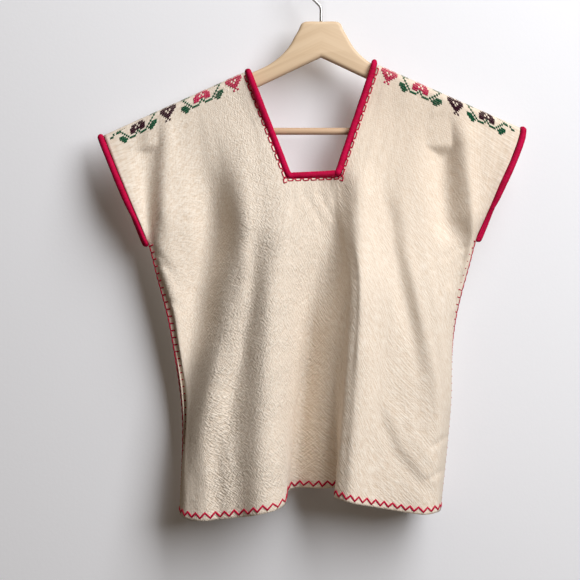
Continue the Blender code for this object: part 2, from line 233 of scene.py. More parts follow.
# One repeat of the shoulder band, a heart and a vine with its flower: a letter is one cross, F
# takes the repeat's own colour and G is green
BAND_CHART = (
    "..FFF.FFF...GGGG.....FFFFF....GGGGG..",
    ".FFFFFFFFF...G......FFF.FFF......G...",
    ".FFF.F.FFF....G....FFF.F.FFF....G....",
    "..FFF.FFF......G...FFFFFFFFF...G.....",
    "...FFFFF....GGG.G..FFF.G.FFF..G.GGG..",
    "....FFF.....GGGG.G....G.G....G.GGGG..",
    ".....F.......GGGG.GGGG...GGGG.GGGG...",
    "....F.F.......GG...............GG....",
)

# What ends the band at the armhole: a small upper leaf and a line of stitches to the edge
END_CHART = (
    "........",
    ".GG.G...",
    ".....GG.",
)


class Recipe:
    """Short calls for adding nodes to one material."""

    def __init__(self, material: bpy.types.Material) -> None:
        """Keep the material, its node tree and its shader."""
        self.material = material
        self.tree = material.node_tree
        self.shader = self.tree.nodes["Principled BSDF"]

    def node(self, kind: str, links: dict, **settings: str) -> bpy.types.Node:
        """Add one node.

        Args:
            kind: The node's type name without its ShaderNode prefix.
            links: Its inputs by name or number, each a socket to link or a plain value.
            settings: Its properties.

        Returns:
            The node.
        """
        item = self.tree.nodes.new("ShaderNode" + kind)
        for key, value in settings.items():
            setattr(item, key, value)
        for key, value in links.items():
            if isinstance(value, bpy.types.NodeSocket):
                self.tree.links.new(value, item.inputs[key])
            else:
                item.inputs[key].default_value = value
        return item

    def math(self, operation: str, first: Value, second: Value = 0.0) -> bpy.types.NodeSocket:
        """Add one arithmetic node and give its result."""
        return self.node("Math", {0: first, 1: second}, operation=operation).outputs[0]

    def weigh(self, *parts: tuple[Value, Value]) -> bpy.types.NodeSocket:
        """Add up values, each times its weight.

        Args:
            parts: Pairs of a value and its weight.

        Returns:
            Their sum.
        """
        shares = [self.math("MULTIPLY", value, weight) for value, weight in parts]
        total = shares[0]
        for share in shares[1:]:
            total = self.math("ADD", total, share)
        return total

    def place(self, source: str, scale: Place = (1.0, 1.0, 1.0)) -> bpy.types.NodeSocket:
        """Give the texture coordinates, scaled."""
        coordinate = self.node("TexCoord", {}).outputs[source]
        return self.node("Mapping", {"Vector": coordinate, "Scale": scale}).outputs[0]

    def split(self, vector: bpy.types.NodeSocket) -> list[bpy.types.NodeSocket]:
        """Give a vector's three parts."""
        return list(self.node("SeparateXYZ", {0: vector}).outputs)

    def grain(
        self, vector: bpy.types.NodeSocket, scale: float, detail: float = 2.0
    ) -> bpy.types.NodeSocket:
        """Give a soft noise from 0 to 1."""
        links = {"Vector": vector, "Scale": scale, "Detail": detail}
        return self.node("TexNoise", links).outputs["Fac"]

    def remap(
        self, value: Value, low: float, high: float, to_low: float = 0.0, to_high: float = 1.0
    ) -> bpy.types.NodeSocket:
        """Stretch a value from one range to another."""
        ends = {"From Min": low, "From Max": high, "To Min": to_low, "To Max": to_high}
        return self.node("MapRange", {"Value": value, **ends}).outputs[0]

    def tint(self, tone: bpy.types.NodeSocket, dark: Colour, light: Colour) -> None:
        """Colour the shader from dark to light by a tone from 0 to 1."""
        links = {"Factor": tone, 6: (*dark, 1.0), 7: (*light, 1.0)}
        mixed = self.node("Mix", links, data_type="RGBA").outputs[2]
        self.tree.links.new(mixed, self.shader.inputs["Base Color"])

    def emboss(self, height: bpy.types.NodeSocket, strength: float, distance: float) -> None:
        """Raise the surface by a height from 0 to 1 times a distance in metres."""
        bump = self.node("Bump", {"Height": height, "Strength": strength, "Distance": distance})
        self.tree.links.new(bump.outputs[0], self.shader.inputs["Normal"])


@dataclass(frozen=True)
class Finish:
    """A material's colour and gloss; its nodes are added by the kinds of finish below."""

    name: str
    colour: Colour
    roughness: float

    def start(self, gloss: dict[str, float | tuple[float, ...]]) -> Recipe:
        """Make the material with its plain values.

        Args:
            gloss: More values of the shader, by the names of its inputs.

        Returns:
            The recipe that adds its nodes.
        """
        material = bpy.data.materials.new(self.name)
        material.use_nodes = True
        material.diffuse_color = (*self.colour, 1.0)
        recipe = Recipe(material)
        plain = {"Base Color": (*self.colour, 1.0), "Roughness": self.roughness}
        for key, value in {**plain, **gloss}.items():
            recipe.shader.inputs[key].default_value = value
        return recipe


@dataclass(frozen=True)
class HandwovenCotton(Finish):
    """Cream handwoven cotton: fine slubby threads both ways, crinkled on the bias.

    The crinkles run steeply down to the right over the right half; over the left half they cross.
    The colour darkens in their grooves as painted shade, and with the slubs, which are the cloth's
    own tone.
    Lengths are in metres, turns in degrees and ends on the flat cut, across or down, in metres.
    """

    # shade is the darker end of the colour: the slubs' own tone, and painted shade in the crinkles'
    # grooves
    shade: Colour = (0.75, 0.62, 0.495)
    pitch: float = 0.0011
    slub: float = 0.0012
    slub_run: float = 0.009
    crinkle: float = 0.0017
    crinkle_run: float = 0.011
    relief: float = 0.0010
    steep_turn: float = -56.0
    rising_turn: float = 58.0
    falling_turn: float = -48.0
    halves_meet: tuple[float, float] = (0.27, 0.40)
    left_edge: tuple[float, float] = (0.07, 0.13)
    left_yoke: tuple[float, float] = (0.10, 0.35)
    right_start: tuple[float, float] = (0.28, 0.36)
    right_yoke: tuple[float, float] = (0.06, 0.27)

    def make(self) -> bpy.types.Material:
        """Build the material on the cloth's own UV map, which is in metres; the crinkles' grooves get
        painted shade.

        Returns:
            The material.
        """
        nodes = self.start({"Sheen Weight": 0.2, "Sheen Roughness": 0.6})
        flat = nodes.place("UV")
        across, down, _ = nodes.split(flat)
        left, right = self.halves(nodes, flat)
        straight, weave = self.threads(nodes)
        # The crinkles' heights also darken the colour in their grooves: painted shade; the slubs and
        # weave are the cloth's own tone
        bias = nodes.math("ADD", left, right)
        tone = nodes.weigh((straight, 0.22), (bias, 0.55), (weave, 0.25))
        nodes.tint(nodes.remap(tone, 0.2, 0.95), self.shade, self.colour)
        left = nodes.math("MULTIPLY", left, nodes.remap(across, *self.left_edge, 0.8, 1.5))
        left = nodes.math("MULTIPLY", left, nodes.remap(down, *self.left_yoke, 0.6, 1.3))
        right = nodes.math("MULTIPLY", right, nodes.remap(across, *self.right_start, 1.5, 0.42))
        lift = nodes.math("ADD", left, right)
        strength = nodes.remap(nodes.grain(flat, 24.0), 0.35, 0.65, 0.65, 1.15)
        height = nodes.weigh((straight, 0.16), (weave, 0.12), (lift, strength))
        nodes.emboss(height, 0.8, self.relief)
        return nodes.material

    def halves(
        self, nodes: Recipe, flat: bpy.types.NodeSocket
    ) -> tuple[bpy.types.NodeSocket, bpy.types.NodeSocket]:
        """Crinkle the two halves of the cloth, which fade into each other.

        Args:
            nodes: The material's recipe.
            flat: The place on the flat cut.

        Returns:
            The crossed crinkles of the left half and the steep ones of the right half.
        """
        across, down, _ = nodes.split(flat)
        wander = nodes.math("MULTIPLY", nodes.grain(flat, 16.0), 0.16)
        share = nodes.remap(nodes.math("ADD", across, wander), *self.halves_meet, 0.1, 0.95)
        rising = self.crinkles(nodes, self.rising_turn, 0.7 * self.crinkle_run)
        falling = self.crinkles(nodes, self.falling_turn, 0.5 * self.crinkle_run)
        steep = self.crinkles(nodes, self.steep_turn, self.crinkle_run)
        crossed = nodes.weigh((rising, 0.75), (falling, 0.5))
        left = nodes.math("MULTIPLY", crossed, nodes.math("SUBTRACT", 1.0, share))
        calm = nodes.remap(down, *self.right_yoke, 0.45, 1.0)
        right = nodes.math("MULTIPLY", nodes.math("MULTIPLY", steep, share), calm)
        return left, right

    def crinkles(self, nodes: Recipe, turn: float, run: float) -> bpy.types.NodeSocket:
        """Draw fine short crinkles that lie at an angle to the threads.

        Args:
            nodes: The material's recipe.
            turn: Their angle in degrees.
            run: Their length in metres.

        Returns:
            Their height, from 0 to 1.
        """
        coordinate = nodes.node("TexCoord", {}).outputs["UV"]
        rotation = (0.0, 0.0, math.radians(turn))
        turned = nodes.node("Mapping", {"Vector": coordinate, "Rotation": rotation}).outputs[0]
        scale = (1.0 / run, 1.0 / self.crinkle, 1.0)
        drawn = nodes.node("Mapping", {"Vector": turned, "Scale": scale}).outputs[0]
        return nodes.remap(nodes.grain(drawn, 1.0, 1.0), 0.3, 0.7)

    def threads(self, nodes: Recipe) -> tuple[bpy.types.NodeSocket, bpy.types.NodeSocket]:
        """Weave the plain cloth.

        Args:
            nodes: The material's recipe.

        Returns:
            The slubs of warp and weft, and the plain weave between them.
        """
        fine, long = 1.0 / self.slub, 1.0 / self.slub_run
        warp = nodes.remap(nodes.grain(nodes.place("UV", (fine, long, 1.0)), 1.0), 0.32, 0.68)
        weft = nodes.remap(nodes.grain(nodes.place("UV", (long, fine, 1.0)), 1.0), 0.32, 0.68)
        wave = 0.314 / self.pitch
        links = {
            "Vector": nodes.place("UV", (wave, wave, 1.0)),
            "Scale": 1.0,
            "Distortion": 1.2,
            "Detail": 1.0,
        }
        up = nodes.node("TexWave", links).outputs["Fac"]
        along = nodes.node("TexWave", links, bands_direction="Y").outputs["Fac"]
        return nodes.math("ADD", warp, weft), nodes.math("MULTIPLY", up, along)


@dataclass(frozen=True)
class Floss(Finish):
    """Stranded cotton thread: short bright and dark strokes, a soft sheen."""

    shade: Colour = (0.2, 0.0, 0.02)
    strand: float = 0.0006
    sheen: float = 0.05

    def make(self) -> bpy.types.Material:
        """Build the material on the piece's own place, so every stitch differs.

        Returns:
            The material.
        """
        gloss = {
            "Sheen Weight": self.sheen,
            "Sheen Roughness": 0.5,
            "Sheen Tint": (*self.colour, 1.0),
            "Specular IOR Level": 0.25,
        }
        nodes = self.start(gloss)
        spot = nodes.place("Object")
        fine = nodes.grain(spot, 1.0 / self.strand)
        tone = nodes.weigh((fine, 0.6), (nodes.grain(spot, 60.0), 0.4))
        nodes.tint(nodes.remap(tone, 0.35, 0.62), self.shade, self.colour)
        nodes.emboss(fine, 0.4, 0.0004)
        return nodes.material


@dataclass(frozen=True)
class SatinWrap(Finish):
    """Thread wound closely round a rolled edge, on the tube's own UV map, which is in metres."""

    shade: Colour = (0.2, 0.0, 0.02)
    wind: float = 0.0008
    slant: float = 0.5

    def make(self) -> bpy.types.Material:
        """Build the material: slanting wraps, uneven in tone, with painted shade in the grooves
        between them.

        Returns:
            The material.
        """
        nodes = self.start({"Specular IOR Level": 0.13})
        round_tube, along, _ = nodes.split(nodes.place("UV"))
        lean = nodes.math("ADD", along, nodes.math("MULTIPLY", round_tube, self.slant))
        wound = nodes.math("SINE", nodes.math("MULTIPLY", lean, 2.0 * math.pi / self.wind))
        wound = nodes.remap(wound, -1.0, 1.0)
        stroke = nodes.grain(nodes.place("UV", (120.0, 900.0, 1.0)), 1.0)
        patch = nodes.grain(nodes.place("UV", (40.0, 70.0, 1.0)), 1.0)
        tone = nodes.remap(nodes.weigh((stroke, 0.55), (patch, 0.45)), 0.36, 0.64)
        # Painted shade: the colour darkens in the grooves between the wraps
        tone = nodes.math("MULTIPLY", tone, nodes.remap(wound, 0.0, 0.5, 0.72, 1.0))
        nodes.tint(tone, self.shade, self.colour)
        nodes.emboss(nodes.weigh((wound, 0.6), (stroke, 0.8)), 0.6, 0.0005)
        return nodes.material


@dataclass(frozen=True)
class PaleWood(Finish):
    """Pale close-grained wood; the grain follows the sloping arms of the hanger, or a level bar."""

    dark: Colour = (0.5, 0.33, 0.19)
    fall: float = 0.4503
    fine: Place = (9.0, 160.0, 260.0)
    broad: Place = (3.0, 30.0, 45.0)

    def make(self) -> bpy.types.Material:
        """Build the material on the piece's own place.

        Returns:
            The material.
        """
        nodes = self.start({"Coat Weight": 0.12, "Coat Roughness": 0.35})
        x, y, z = nodes.split(nodes.node("TexCoord", {}).outputs["Object"])
        sloped = nodes.math("MULTIPLY", nodes.math("ABSOLUTE", x), self.fall)
        ways = (x, y, nodes.math("ADD", z, sloped))
        streak = self.streaks(nodes, ways, self.fine, 4.0)
        broad = self.streaks(nodes, ways, self.broad, 2.0)
        tone = nodes.weigh((streak, 0.55), (broad, 0.45))
        nodes.tint(nodes.remap(tone, 0.34, 0.6), self.dark, self.colour)
        nodes.emboss(streak, 0.15, 0.0004)
        return nodes.material

    def streaks(
        self, nodes: Recipe, ways: Sequence, scales: Place, detail: float
    ) -> bpy.types.NodeSocket:
        """Draw noise out along the grain.

        Args:
            nodes: The material's recipe.
            ways: Places along the grain, through the board and across the grain.
            scales: Their scales.
            detail: The noise's detail.

        Returns:
            The noise, from 0 to 1.
        """
        scaled = [nodes.math("MULTIPLY", way, scale) for way, scale in zip(ways, scales)]
        vector = nodes.node("CombineXYZ", dict(enumerate(scaled))).outputs[0]
        return nodes.grain(vector, 1.0, detail)


@dataclass(frozen=True)
class SteelWire(Finish):
    """Bright drawn wire with fine lengthwise wear."""

    def make(self) -> bpy.types.Material:
        """Build the material on the piece's own place.

        Returns:
            The material.
        """
        nodes = self.start({"Metallic": 1.0})
        wear = nodes.grain(nodes.place("Object", (900.0, 900.0, 40.0)), 1.0, 3.0)
        rough = nodes.remap(wear, 0.3, 0.7, self.roughness * 0.7, self.roughness * 1.4)
        nodes.tree.links.new(rough, nodes.shader.inputs["Roughness"])
        return nodes.material


@dataclass(frozen=True)
class PlasterWall(Finish):
    """Matt painted wall or floor, seen from its front only."""

    def make(self) -> bpy.types.Material:
        """Build the material; a wall seen from behind is clear, so it hides nothing.

        Returns:
            The material.
        """
        nodes = self.start({})
        nodes.emboss(nodes.grain(nodes.place("Object"), 260.0, 3.0), 0.12, 0.0008)
        behind = nodes.node("NewGeometry", {}).outputs["Backfacing"]
        clear = nodes.node("BsdfTransparent", {}).outputs[0]
        links = {0: behind, 1: nodes.shader.outputs[0], 2: clear}
        mixed = nodes.node("MixShader", links).outputs[0]
        nodes.tree.links.new(mixed, nodes.tree.nodes["Material Output"].inputs["Surface"])
        return nodes.material


COTTON = HandwovenCotton("cream_cotton", (0.97, 0.895, 0.80), 0.95)
CRIMSON_WRAP = SatinWrap("crimson_wrap", (0.68, 0.001, 0.08), 0.6, shade=(0.42, 0.0, 0.036))
CRIMSON = Floss("crimson_floss", (0.62, 0.002, 0.06), 0.7, shade=(0.38, 0.0, 0.03))
FLOSS = {
    Thread.ROSE: Floss("rose_floss", (0.68, 0.02, 0.12), 0.7, shade=(0.42, 0.003, 0.05)),
    Thread.PLUM: Floss(
        "plum_floss", (0.05, 0.003, 0.02), 0.8, shade=(0.02, 0.001, 0.008), sheen=0.03
    ),
    Thread.GREEN: Floss(
        "green_floss", (0.002, 0.14, 0.06), 0.8, shade=(0.0005, 0.05, 0.022), sheen=0.03
    ),
}
BEECH = PaleWood("pale_wood", (0.79, 0.61, 0.42), 0.5, dark=(0.68, 0.50, 0.32))
BAR_WOOD = PaleWood("bar_wood", (0.74, 0.53, 0.36), 0.5, dark=(0.55, 0.36, 0.22), fall=0.0)
WIRE = SteelWire("steel_wire", (0.55, 0.55, 0.56), 0.28)
WALL = PlasterWall("pale_wall", (0.90, 0.925, 0.99), 0.95)
FLOOR = PlasterWall("pale_floor", (0.78, 0.78, 0.79), 0.95)


def smooth(knots: np.ndarray, values: np.ndarray, at: np.ndarray) -> np.ndarray:
    """Read a cubic curve through the values at the knots.

    Args:
        knots: Rising places of the values.
        values: One value for each knot, or one row of values for each knot.
        at: Places to read, as many as the columns of values where it has rows.

    Returns:
        The values at those places.
    """
    last = len(knots) - 1
    low = np.clip(np.searchsorted(knots, at, side="right") - 1, 0, last - 1)
    pick = np.arange(at.size)

    def take(index: np.ndarray) -> np.ndarray:
        """Read the values of these knots."""
        return values[index, pick] if values.ndim == 2 else values[index]

    def slope(index: np.ndarray) -> np.ndarray:
        """Give the curve's slope at these knots."""
        before, after = np.maximum(index - 1, 0), np.minimum(index + 1, last)
        return (take(after) - take(before)) / (knots[after] - knots[before])

    high = low + 1
    span = knots[high] - knots[low]
    part = (at - knots[low]) / span
    rest = 1.0 - part
    return (
        take(low) * rest * rest * (1.0 + 2.0 * part)
        + take(high) * part * part * (3.0 - 2.0 * part)
        + span * part * rest * (slope(low) * rest - slope(high) * part)
    )


def ease(low: float, high: float, at: np.ndarray) -> np.ndarray:
    """Rise softly from 0 at low to 1 at high."""
    part = np.clip((at - low) / (high - low), 0.0, 1.0)
    return part * part * (3.0 - 2.0 * part)


def finished(
    name: str, mesh: bpy.types.Mesh, finishes: Sequence[bpy.types.Material], slot: str, *nodes: str
) -> bpy.types.Object:
    """Make a dressed object of a mesh, which rides on the only body.

    Args:
        name: The piece's name.
        mesh: Its mesh, in place.
        finishes: Materials, in the order of the mesh's indices.
        slot: A material slot's name; not used.
        nodes: CAD nodes that the piece stands for.

    Returns:
        The object.
    """
    item = bpy.data.objects.new(name, mesh)
    bpy.context.scene.collection.objects.link(item)
    for material in finishes:
        mesh.materials.append(material)
    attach(item, "root")
    if nodes:
        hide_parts(*nodes)
    LOG.info("%s: %d faces", name, len(mesh.polygons))
    return item


def grid_mesh(
    name: str,
    columns: int,
    rows: int,
    shape: Callable[[np.ndarray, np.ndarray], tuple[np.ndarray, np.ndarray]],
    cut: Callable[[float, float], bool] | None = None,
) -> bpy.types.Mesh:
    """Shape a flat grid into a curved sheet with its own UV map.

    Args:
        name: The mesh's name.
        columns: Faces across.
        rows: Faces down.
        shape: Gives places in metres and UVs for arrays of columns and rows.
        cut: Says which faces to leave out, by the column and row of their middle.

    Returns:
        The mesh.
    """
    grid = bmesh.new()
    bmesh.ops.create_grid(grid, x_segments=columns, y_segments=rows, size=1.0)
    if cut:
        gone = []
        for face in grid.faces:
            middle = face.calc_center_median()
            if cut((middle.x + 1.0) * 0.5 * columns, (1.0 - middle.y) * 0.5 * rows):
                gone.append(face)
        bmesh.ops.delete(grid, geom=gone, context="FACES")
    mesh = bpy.data.meshes.new(name)
    grid.to_mesh(mesh)
    grid.free()
    flat = np.empty(len(mesh.vertices) * 3)
    mesh.vertices.foreach_get("co", flat)
    flat = flat.reshape(-1, 3)
    column = np.round((flat[:, 0] + 1.0) * 0.5 * columns)
    row = np.round((1.0 - flat[:, 1]) * 0.5 * rows)
    places, spread = shape(column, row)
    mesh.vertices.foreach_set("co", places.astype(np.float32).ravel())
    corners = np.empty(len(mesh.loops), dtype=np.int32)
    mesh.loops.foreach_get("vertex_index", corners)
    layer = mesh.uv_layers.new(name="flat_cut")
    layer.data.foreach_set("uv", spread[corners].astype(np.float32).ravel())
    mesh.update()
    mesh.shade_smooth()
    return mesh


def cord_frames(path: np.ndarray, closed: bool) -> tuple[np.ndarray, np.ndarray, np.ndarray]:
    """Set up the round section of a tube along its path.

    Args:
        path: Points in metres; the last repeats the first where the tube is closed.
        closed: Whether the ends meet.

    Returns:
        The length along the path and two directions square to it, at each point.
    """
    steps = np.diff(path, axis=0)
    length = np.concatenate(([0.0], np.cumsum(np.linalg.norm(steps, axis=1))))
    tangent = np.gradient(path, axis=0)
    if closed:
        tangent[0] = tangent[-1] = path[1] - path[-2]
    tangent /= np.linalg.norm(tangent, axis=1)[:, None]
    side = np.cross(tangent, np.array((0.0, -1.0, 0.0)))
    weak = np.linalg.norm(side, axis=1) < 0.25
    for index in np.nonzero(weak)[0]:
        side[index] = side[index - 1] - tangent[index] * np.dot(side[index - 1], tangent[index])
    side /= np.linalg.norm(side, axis=1)[:, None]
    return length, side, np.cross(side, tangent)


def tube_mesh(
    name: str, path: np.ndarray, radii: np.ndarray, sides: int, closed: bool
) -> bpy.types.Mesh:
    """Sweep a round section along a path.

    Args:
        name: The mesh's name.
        path: Points in metres; the last repeats the first where the tube is closed.
        radii: A radius in metres for each point.
        sides: Faces round the section.
        closed: Whether the ends meet; otherwise they are capped.

    Returns:
        The mesh, with UVs in metres: round, then along.
    """
    length, side, front = cord_frames(path, closed)

    def shape(column: np.ndarray, row: np.ndarray) -> tuple[np.ndarray, np.ndarray]:
        """Wrap the grid round the path."""
        at = row.astype(int)
        turn = 2.0 * math.pi * column / sides
        out = np.cos(turn)[:, None] * side[at] + np.sin(turn)[:, None] * front[at]
        spread = np.stack((column / sides * 2.0 * math.pi * radii.mean(), length[at]), axis=1)
        return path[at] + out * radii[at][:, None], spread

    mesh = grid_mesh(name, sides, len(path) - 1, shape)
    tube = bmesh.new()
    tube.from_mesh(mesh)
    bmesh.ops.remove_doubles(tube, verts=tube.verts, dist=0.000001)
    if not closed:
        rims = [edge for edge in tube.edges if edge.is_boundary]
        bmesh.ops.holes_fill(tube, edges=rims, sides=sides + 1)
    bmesh.ops.recalc_face_normals(tube, faces=tube.faces)
    tube.to_mesh(mesh)
    tube.free()
    return mesh


def resample(points: np.ndarray, step: float) -> np.ndarray:
    """Take even steps along a smooth curve through the points.

    Args:
        points: The points, one row each.
        step: The length of a step.

    Returns:
        The new points, with the first and last kept.
    """
    gaps = np.linalg.norm(np.diff(points, axis=0), axis=1)
    knots = np.concatenate(([0.0], np.cumsum(gaps)))
    count = max(int(round(knots[-1] / step)), 2)
    at = np.linspace(0.0, knots[-1], count + 1)
    columns = [smooth(knots, column, at) for column in points.T]
    return np.stack(columns, axis=1)


class HangingCloth:
    """One half of the folded cloth: its folds, creases and where each point of it hangs.

    Lengths are in mm; across is counted in fold lines and down is the way from the shoulder fold.
    """

    depth_of_slit = 156.0
    length = 575.0
    width = 520.0
    chest_share = 0.32
    waist_share = 0.64
    arm_wrap = 8.8
    tip_wrap = 4.6
    tip_x = (222.0, 250.0)
    arm_cover = 42.0
    armhole_gape = 9.0
    seam_depth = 0.6
    arm_bulge = 4.0
    bulge_down = (0.0, 12.0, 26.0, 52.0, 80.0, 110.0, 156.0)
    bulge_share = (0.0, 0.75, 1.0, 0.95, 0.45, 0.35, 0.0)
    seam_tuck = 6.0
    tuck_across = (1.3, 2.5, 4.4)
    tuck_down = (195.0, 290.0, 430.0, 500.0)
    hanger_clear = 7.8
    clear_z = (-254.0, -238.0)
    crease_rise = 0.25
    crease_fade = 0.72
    fine_ripple = 0.55
    wide_ripple = 1.1
    probe_across = 0.05
    probe_down = 0.6
    shoulders = ((-96.0, -138.3, 0.4503), (70.7, -129.0, 0.445))
    yoke_line = ((-230.0, -368.0), (-46.0, -286.0), (25.0, -282.5), (206.0, -362.0))

    def __init__(
        self,
        folds: Sequence[Fold],
        side: float,
        neck: tuple[int, int],
        creases: Sequence[Crease],
    ) -> None:
        """Keep the table of folds.

        Args:
            folds: The fold lines from the left seam to the right one.
            side: -1 for the front, 1 for the back.
            neck: Numbers of the two fold lines that end the neck slit.
            creases: The listed creases.
        """
        self.table = np.array(folds, dtype=float)
        self.side = side
        self.neck = neck
        self.creases = creases
        self.last = len(folds) - 1
        body = self.length - self.depth_of_slit
        chest = self.depth_of_slit + self.chest_share * body
        waist = self.depth_of_slit + self.waist_share * body
        self.levels = np.array((0.0, self.depth_of_slit, chest, waist, self.length))
        self.spread = self.flat_width()

    def read(self, column: str, across: np.ndarray) -> np.ndarray:
        """Read one column of the fold table between its rows."""
        values = self.table[:, Fold._fields.index(column)]
        return smooth(np.arange(self.last + 1.0), values, across)

    def shoulder_height(self, x: np.ndarray) -> np.ndarray:
        """Read the height of the shoulder fold.

        Args:
            x: Places across.

        Returns:
            The fold's z there.
        """
        (left, left_z, left_fall), (right, right_z, right_fall) = self.shoulders
        on_left = left_z - left_fall * (np.abs(x) - abs(left))
        on_right = right_z - right_fall * (np.abs(x) - abs(right))
        return np.where(x < 0.0, on_left, on_right)

    def hang(self, across: np.ndarray, down: np.ndarray) -> np.ndarray:
        """Hang the cloth before it is creased.

        Args:
            across: Places in fold lines.
            down: Places from the shoulder fold.

        Returns:
            The points as rows of x, y and z.
        """
        levels = ("yoke", "chest", "waist", "hem")
        top_x = self.read("shoulder_x", across)
        xs = np.stack([top_x] + [self.read(name + "_x", across) for name in levels])
        wrap = self.arm_wrap + (self.tip_wrap - self.arm_wrap) * ease(*self.tip_x, np.abs(top_x))
        depths = np.stack([wrap] + [self.read(name + "_d", across) for name in levels])
        line = np.array(self.yoke_line)
        yoke_z = np.interp(xs[1], line[:, 0], line[:, 1])
        share = (down - self.depth_of_slit) / (self.length - self.depth_of_slit)
        low = np.stack(
            (
                smooth(self.levels, xs, down),
                smooth(self.levels, depths, down),
                yoke_z + (self.read("hem_z", across) - yoke_z) * share,
            )
        )
        top = self.yoke(across, down, xs, depths, yoke_z)
        both = np.where(down >= self.depth_of_slit, low, top)
        both[0] += self.pull(across, down)
        both[1] *= self.side
        return both.T

    def pull(self, across: np.ndarray, down: np.ndarray) -> np.ndarray:
        """Draw the cloth to the right at the right armhole and beside the left seam.

        Args:
            across: Places in fold lines.
            down: Places from the shoulder fold.

        Returns:
            The way that each place moves along x.
        """
        share = np.interp(down, self.bulge_down, self.bulge_share)
        drawn = self.arm_bulge * share * (1.0 - ease(0.0, 2.5, self.last - across))
        if self.side < 0.0:
            start, middle, end = self.tuck_across
            tuck = ease(start, middle, across) * (1.0 - ease(middle, end, across))
            tuck *= ease(*self.tuck_down[:2], down) * (1.0 - ease(*self.tuck_down[2:], down))
            drawn = drawn + self.seam_tuck * tuck
        return drawn

    def yoke(
        self,
        across: np.ndarray,
        down: np.ndarray,
        xs: np.ndarray,
        depths: np.ndarray,
        yoke_z: np.ndarray,
    ) -> np.ndarray:
        """Hang the cloth between the shoulder fold and the yoke line.

        Args:
            across: Places in fold lines.
            down: Places from the shoulder fold.
            xs: The fold line's x there, on the shoulder and at each level.
            depths: Its depth, in the same order.
            yoke_z: The height of the yoke line.

        Returns:
            Rows of x, depth and z.
        """
        wrap = depths[0]
        quarter = QUARTER_TURN * wrap
        turn = np.minimum(down / wrap, QUARTER_TURN)
        drop = wrap * (1.0 - np.cos(turn)) + np.maximum(down - quarter, 0.0)
        share = drop / (wrap + self.depth_of_slit - quarter)
        reach = np.min([np.abs(across - edge) for edge in (0, *self.neck, self.last)], axis=0)
        bend = ease(0.0, 1.6, reach) * share * share * (share - 1.0)
        lean = (xs[2] - xs[0]) / self.levels[2] * self.depth_of_slit
        x = xs[0] + (xs[1] - xs[0]) * share + bend * (lean - (xs[1] - xs[0]))
        free = self.depth_of_slit - self.arm_cover
        part = np.clip((down - self.arm_cover) / free, 0.0, 1.0)
        slope = (depths[2] - depths[0]) / self.levels[2] * free
        lower = wrap + (depths[1] - wrap) * part * part * (3.0 - 2.0 * part)
        lower += slope * part * part * (part - 1.0)
        depth = np.where(down <= self.arm_cover, wrap * np.sin(turn), lower)
        edge = np.minimum(across, self.last - across)
        depth = depth + self.armhole_gape * np.sin(math.pi * share) * (1.0 - ease(0.0, 2.0, edge))
        top = self.shoulder_height(xs[0])
        return np.stack((x, np.maximum(depth, 0.0), top + (yoke_z - top) * share))

    def crease(self, places: np.ndarray) -> np.ndarray:
        """Work out how far the creases lift the cloth.

        Args:
            places: Points of the cloth, as rows of x, y and z.

        Returns:
            The lift at each point.
        """
        lift = np.zeros(len(places))
        spots = places[:, (0, 2)]
        for crease in self.creases:
            line = np.array(crease.line, dtype=float)
            best = np.full(len(places), 1e9)
            side = np.zeros(len(places))
            along = np.zeros(len(places))
            lengths = np.linalg.norm(np.diff(line, axis=0), axis=1)
            whole, start = lengths.sum(), 0.0
            for near, far, span in zip(line, line[1:], lengths):
                way = (far - near) / span
                raw = (spots - near) @ way
                part = np.clip(raw, 0.0, span)
                rest = spots - near - part[:, None] * way
                away = np.linalg.norm(rest, axis=1)
                closer = away < best
                best = np.where(closer, away, best)
                side = np.where(closer, way[0] * rest[:, 1] - way[1] * rest[:, 0], side)
                along = np.where(closer, (start + part) / whole, along)
                start += span
            fade = ease(0.0, self.crease_rise, along) * (1.0 - ease(self.crease_fade, 1.0, along))
            if crease.step:
                share = side / crease.width
                lift += crease.height * fade * share * np.exp(0.5 - 0.5 * share * share)
            else:
                lift += crease.height * fade * np.exp(-((best / crease.width) ** 2))
        return lift

    def ripple(self, across: np.ndarray, down: np.ndarray) -> np.ndarray:
        """Give the small unevenness of crinkled cloth.

        Args:
            across: Places in fold lines.
            down: Places from the shoulder fold.

        Returns:
            The lift at each place.
        """
        flat = self.flat(across, down)
        fine = [noise.noise(Vector((u * 95.0, v * 26.0, 3.0 + self.side))) for u, v in flat]
        wide = [noise.noise(Vector((u * 34.0, v * 12.0, 9.0 + self.side))) for u, v in flat]
        fade = ease(6.0, 45.0, down)
        return fade * (self.fine_ripple * np.array(fine) + self.wide_ripple * np.array(wide))

    def point(self, across: np.ndarray, down: np.ndarray) -> np.ndarray:
        """Hang the creased cloth.

        Args:
            across: Places in fold lines.
            down: Places from the shoulder fold.

        Returns:
            The points in metres, as rows of x, y and z.
        """
        places = self.hang(across, down)
        edge = np.minimum(across, self.last - across)
        fade = ease(0.0, 0.8, edge)
        lift = fade * (self.crease(places) + self.ripple(across, down))
        depth = self.side * places[:, 1]
        clear = self.hanger_clear * ease(*self.clear_z, places[:, 2])
        held = np.maximum(depth + lift, np.minimum(depth, clear))
        places[:, 1] = self.side * np.where(clear > 0.1, held, depth + lift)
        sewn = (edge < 1e-6) & (down >= self.depth_of_slit)
        places[sewn, 1] = self.side * self.seam_depth
        return places * MM

